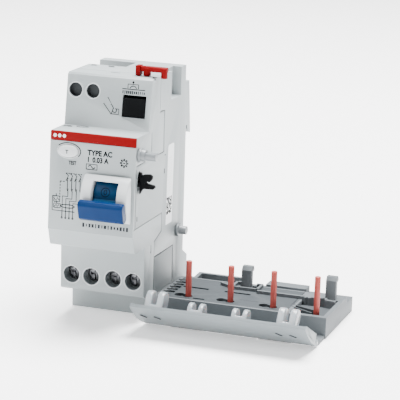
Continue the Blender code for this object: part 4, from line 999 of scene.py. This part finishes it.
def on_flap(u, v, h):
    """v runs along the flap from its hinge and h stands out of the outer face."""
    share = v / FLAP_LENGTH
    out = -FLAP_BULGE * 4 * share * (1 - share) - FLAP_THICK - h
    return at(u, HINGE[0] - v * math.cos(FLAP_TILT) + out * math.sin(FLAP_TILT),
              HINGE[1] + v * math.sin(FLAP_TILT) + out * math.cos(FLAP_TILT))


flap_slots = [[(x - 1.1, 14.6), (x + 1.1, 12.8)] for x in (39.5, 45.1, 93.5, 99.0)]
pen_drawn("flap_slot_marks", flap_slots, lambda u, v, h: on_flap(u, v, h + 0.12), 1.0, well_plastic, "flap_body")

# %% [markdown]
# ## The fork's two claws
#
# Outside the wall the fork splits into two claws that take hold of the breaker's trip bar: a short
# blunt one above and a longer one that points down. A fin at their root covers the slot in the
# wall. The claws are one flat outline with a thickness, as a moulding tool would cut them.


# %% Claws
CLAW_FRONT = -52.3
CLAW_THICK = 1.9
claws = [(35.5, 9.4), (36.3, 8.0), (37.0, 8.6), (39.6, 8.8), (40.5, 8.1), (40.5, 7.2), (39.6, 5.9),
         (38.4, 6.1), (37.9, 5.6), (38.6, 5.1), (41.2, 4.7), (41.7, 4.0), (41.0, 3.2), (37.0, 3.1),
         (36.3, 2.2), (35.5, 0.7)]
claw_data = plate("fork_claws", claws, (CLAW_FRONT, CLAW_FRONT + CLAW_THICK), lambda x, z, y: at(x, y, z))
claw_work = helper("fork_claws_work", claw_data)
claw_round = claw_work.modifiers.new("round", "BEVEL")
claw_round.width = 0.25 * MM
claw_round.segments = 3
finished("fork_claws", evaluated(claw_work), black_plastic, "fork_body")
print("claws reach", round(max(x for x, z in claws) - SIDE, 1), "mm out of the case")

# %% [markdown]
# ## The label on the side
#
# A strip of white film with a block of marks at its lower end. Its corners are rounded, and it is
# thick enough to have an edge that shows.


# %% Side label
LABEL_TOP = 13.6
LABEL_FOOT = -18.6
LABEL_LEAN = 1.0
LABEL_CORNER = 1.2
LABEL_THICK = 0.08


def on_label(u, v, h):
    share = (LABEL_TOP - v) / (LABEL_TOP - LABEL_FOOT)
    return on_right_side(u - LABEL_LEAN * share, v, h)


label = [(-20.2, LABEL_FOOT), (-13.4, LABEL_FOOT)]
corner_turns = (0, 0.52, 1.05, 1.57)
corner_v = LABEL_TOP - LABEL_CORNER
label += [(-14.6 + LABEL_CORNER * math.cos(turn), corner_v + LABEL_CORNER * math.sin(turn))
          for turn in corner_turns]
label += [(-19.0 - LABEL_CORNER * math.sin(turn), corner_v + LABEL_CORNER * math.cos(turn))
          for turn in corner_turns]
label_data = plate("side_label", label, (0.0, LABEL_THICK), on_label)
finished("side_label", label_data, label_paper, "case")
dice = random.Random(11)
block = [(-19.6 + 0.62 * column, -14.2 + 0.62 * line)
         for column in range(9) for line in range(11) if dice.random() < 0.6]
marks("label_block", block, lambda u, v, h: on_label(u, v, h + 0.1), 0.85, 0.62, 5, black_ink)
faint = [(-18.8 + 1.5 * column, -5.0 + 1.1 * line) for column in range(3) for line in range(13)]
marks("label_lines", faint, lambda u, v, h: on_label(u, v, h + 0.05), 0.35, 0.6, 9,
      plastic("faint_ink", (0.5, 0.51, 0.52), 0.5, grain=0.04, drift=0.04))

# %% [markdown]
# ## The test button
#
# A shallow oval dome that a fingertip finds without looking. A lathe can't make an oval, so rings
# of points are scaled in two directions and joined.


# %% Test button
SKIRT = 0.85
test_low, test_high = drawn_box("test_button")
TEST_CENTRE = (drawn_middle("test_button")[0], drawn_middle("test_button")[2])
test_size = (test_high - test_low) / 2
TEST_HALF = (round_mm(test_size.x - SKIRT), round_mm(test_size.z - SKIRT))


def dome(name, rings, sides, material, body, stands_for=()):
    """Join oval rings, each (scale, height), with a closed back and crown."""
    mesh = bmesh.new()
    loops = []
    for scale, height in rings:
        corners = []
        for side in range(sides):
            turn = math.tau * side / sides
            u = TEST_CENTRE[0] + TEST_HALF[0] * scale * math.cos(turn)
            v = TEST_CENTRE[1] + TEST_HALF[1] * scale * math.sin(turn)
            corners.append(mesh.verts.new(on_nose(u, v, height)))
        loops.append(corners)
    join_rings(mesh, zip(loops, loops[1:]))
    mesh.faces.new(loops[0])
    mesh.faces.new(loops[-1])
    bmesh.ops.recalc_face_normals(mesh, faces=mesh.faces)
    data = stored(name, mesh)
    data.shade_smooth()
    data.set_sharp_from_angle(angle=math.radians(50))
    return finished(name, data, material, body, stands_for)


button_rings = [(1.15, -2.5), (1.15, -1.9), (1.0, -1.9), (1.0, 0.3), (0.97, 0.6), (0.9, 0.85), (0.78, 1.0),
                (0.6, 1.08), (0.4, 1.12), (0.15, 1.14)]
dome("test_button_cap", button_rings, 40, button_plastic, "test_body", ("test_button",))
pen_drawn("test_button_rim", [arc(*TEST_CENTRE, 4.6, steps=40, tall=2.78 / 4.6)], on_nose, 0.34, frame_and_highlight_plastic)
# Painted shadow: a dark half ring round the upper right side of the button, where its gap is in shade.
pen_drawn("test_button_gap", [arc(*TEST_CENTRE, 4.98, -35, 180, 30, 3.1 / 4.98)], on_nose, 0.42, grey_ink)

# %% [markdown]
# ## The numeral on the handle
#
# A ring with a nought says that the switch is off. The placing function wraps the drawing round
# the drum: up on the drawing becomes an angle about the handle's axis.

# %% Handle numeral
DRUM_RADIUS = round_mm(drawn_box("handle")[1].z - AXIS_Z)


def on_drum(u, v, h):
    angle = (v - AXIS_Z) / DRUM_RADIUS
    reach = DRUM_RADIUS + h
    return at(u, AXIS_Y - reach * math.cos(angle), AXIS_Z + reach * math.sin(angle))


numeral_ink = plastic("numeral_ink", (0.0, 0.004, 0.014), 0.6, drift=0.1, Specular_IOR_Level=0.05)
NUMERAL = (24.75, 2.2)
pen_drawn("handle_numeral", [arc(*NUMERAL, 1.7, steps=20), arc(*NUMERAL, 0.55, steps=12, tall=1.7)], on_drum,
      0.32, numeral_ink, "handle_body")

# %% [markdown]
# ## Springs
#
# A spring is a wire on a helix. A third tree takes the coil's radius, height, turns and wire
# thickness. The springs are hidden inside the case, but they show when it is opened.


# %% The coil tree
def coil_tree():
    tree = new_tree("coil")
    tree_input(tree, "Blank", "NodeSocketGeometry")
    tree_input(tree, "Turns", "NodeSocketFloat", 4.0)
    tree_input(tree, "Radius", "NodeSocketFloat", 1.9)
    tree_input(tree, "Height", "NodeSocketFloat", 5.0)
    tree_input(tree, "Wire", "NodeSocketFloat", 0.3)
    tree_input(tree, "Metal", "NodeSocketMaterial")
    given = tree.nodes.new("NodeGroupInput")
    helix = node_in(tree, "GeometryNodeCurveSpiral", {
        "Resolution": 20, "Rotations": given.outputs["Turns"], "Start Radius": given.outputs["Radius"],
        "End Radius": given.outputs["Radius"], "Height": given.outputs["Height"]})
    section = node_in(tree, "GeometryNodeCurvePrimitiveCircle", {"Resolution": 8,
                                                                 "Radius": given.outputs["Wire"]})
    wire = node_in(tree, "GeometryNodeCurveToMesh", {0: helix.outputs[0], 1: section.outputs[0],
                                                     "Fill Caps": True})
    close_tree(tree, wire.outputs[0], given.outputs["Metal"])
    return tree


COIL = coil_tree()


def spring(node, along, turns, wire_radius):
    low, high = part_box(node)
    size = (high - low) / MM
    middle = (low + high) / 2
    across = min(size) if along == 0 else size.x
    length = size[along] - 2 * wire_radius
    blank = bpy.data.meshes.new(node)
    mesh = run_tree(node, COIL, blank, Turns=turns, Radius=across / 2 - wire_radius, Height=length,
                    Wire=wire_radius, Metal=spring_steel)
    turn = Matrix.Rotation(math.radians(90), 4, "Y" if along == 0 else "X")
    for vertex in mesh.vertices:
        centred = Vector((vertex.co.x, vertex.co.y, vertex.co.z - length / 2))
        vertex.co = middle + (turn @ centred) * MM
    mesh.shade_smooth()
    piece = finished(node + "_coil", mesh, spring_steel, "case", (node,))
    print(piece.name, len(mesh.polygons), "faces")


spring("test_spring", 1, 5.0, 0.3)
spring("release_spring", 1, 4.0, 0.35)
spring("handle_spring", 0, 4.0, 0.3)

# %% [markdown]
# ## Inside pieces
#
# These CAD nodes already have the right shape, so they stay and only get their finish.

# %% Finishes for the inner nodes
finishes = {
    "relay_frame": zinc_steel, "relay_coil": coil_lacquer, "relay_plunger": zinc_steel,
    "mechanism_frame": zinc_steel, "handle_pin": zinc_steel, "fork_pin": zinc_steel, "trip_pin": zinc_steel,
    "flap_hinge_pin": zinc_steel, "trip_lever": nylon, "circuit_board": board_green,
    "test_resistor": resistor_body, "test_contact": bar_copper, "toroid_cup": black_plastic,
    "toroid_core": core_metal, "secondary_winding": winding_copper,
}
for number in range(1, 5):
    finishes["clamp_cage_%d" % number] = zinc_steel
    finishes["terminal_bar_%d" % number] = bar_copper
    finishes["lead_%d" % number] = insulation
for name, material in finishes.items():
    data = nodes[name].data
    data.materials.clear()
    data.materials.append(material)
print(len(finishes), "inner nodes finished")

# %% [markdown]
# ## Floor, light and camera
#
# A pale floor and large, soft lamps, as in a small product studio. The camera looks from the
# front, a little from the right and from above, through a long lens.


# %% Floor
FLOOR_GLOW = 0.6
FLOOR_GAP = 0.05
FLOOR_HALF = 6.0


def pale_floor():
    mesh = bmesh.new()
    bmesh.ops.create_grid(mesh, x_segments=1, y_segments=1, size=FLOOR_HALF)
    data = stored("floor", mesh)
    floor = bpy.data.objects.new("floor", data)
    floor.location.z = cad_box[0][2] - FLOOR_GAP * MM
    bpy.context.scene.collection.objects.link(floor)
    finish = Finish("floor_white", 0.9)
    finish.shader.inputs["Base Color"].default_value = (0.94, 0.94, 0.94, 1.0)
    finish.shader.inputs["Emission Color"].default_value = (1.0, 1.0, 1.0, 1.0)
    finish.shader.inputs["Emission Strength"].default_value = FLOOR_GLOW
    data.materials.append(finish.material)


pale_floor()


# %% Light
def lamp(name, place, target, size, watts, colour=(1.0, 1.0, 1.0)):
    data = bpy.data.lights.new(name, "AREA")
    data.shape = "DISK"
    data.size = size
    data.energy = watts
    data.color = colour
    lit = bpy.data.objects.new(name, data)
    lit.location = place
    lit.rotation_euler = (Vector(target) - Vector(place)).to_track_quat("-Z", "Y").to_euler()
    bpy.context.scene.collection.objects.link(lit)


AIM = (0.02, -0.02, -0.01)
SKY_LIGHT = 0.42
lamp("key", (-0.55, -0.9, 0.75), AIM, 0.9, 11.5)
lamp("fill", (1.1, -0.5, 0.45), AIM, 0.9, 0.8)
lamp("overhead", (0.1, 0.25, 1.2), AIM, 1.0, 105.0)
world = bpy.data.worlds.new("studio")
bpy.context.scene.world = world
world.use_nodes = True
sky = world.node_tree.nodes["Background"]
sky.inputs["Color"].default_value = (1.0, 1.0, 1.0, 1.0)
sky.inputs["Strength"].default_value = SKY_LIGHT


# %% Camera
AZIMUTH = math.radians(19.05)
ELEVATION = math.radians(13.9)
ROLL = math.radians(1.7)
CAMERA_PLACE = at(275.33, -676.07, 164.71)
LENS = 163.8
SENSOR = 36.0


def studio_camera():
    back = Vector((math.sin(AZIMUTH) * math.cos(ELEVATION), -math.cos(AZIMUTH) * math.cos(ELEVATION),
                   math.sin(ELEVATION)))
    right = Vector((math.cos(AZIMUTH), math.sin(AZIMUTH), 0.0))
    up = back.cross(right)
    rolled_right = right * math.cos(ROLL) + up * math.sin(ROLL)
    rolled_up = up * math.cos(ROLL) - right * math.sin(ROLL)
    data = bpy.data.cameras.new("studio_camera")
    data.lens = LENS
    data.sensor_width = SENSOR
    camera = bpy.data.objects.new("studio_camera", data)
    turn = Matrix((rolled_right, rolled_up, back)).transposed().to_4x4()
    camera.matrix_world = Matrix.Translation(CAMERA_PLACE) @ turn
    bpy.context.scene.collection.objects.link(camera)
    bpy.context.scene.camera = camera


studio_camera()

# %% Sizes and the end
print("size of the CAD box", [round((b - a) / MM, 1) for a, b in zip(*cad_box)], "mm")
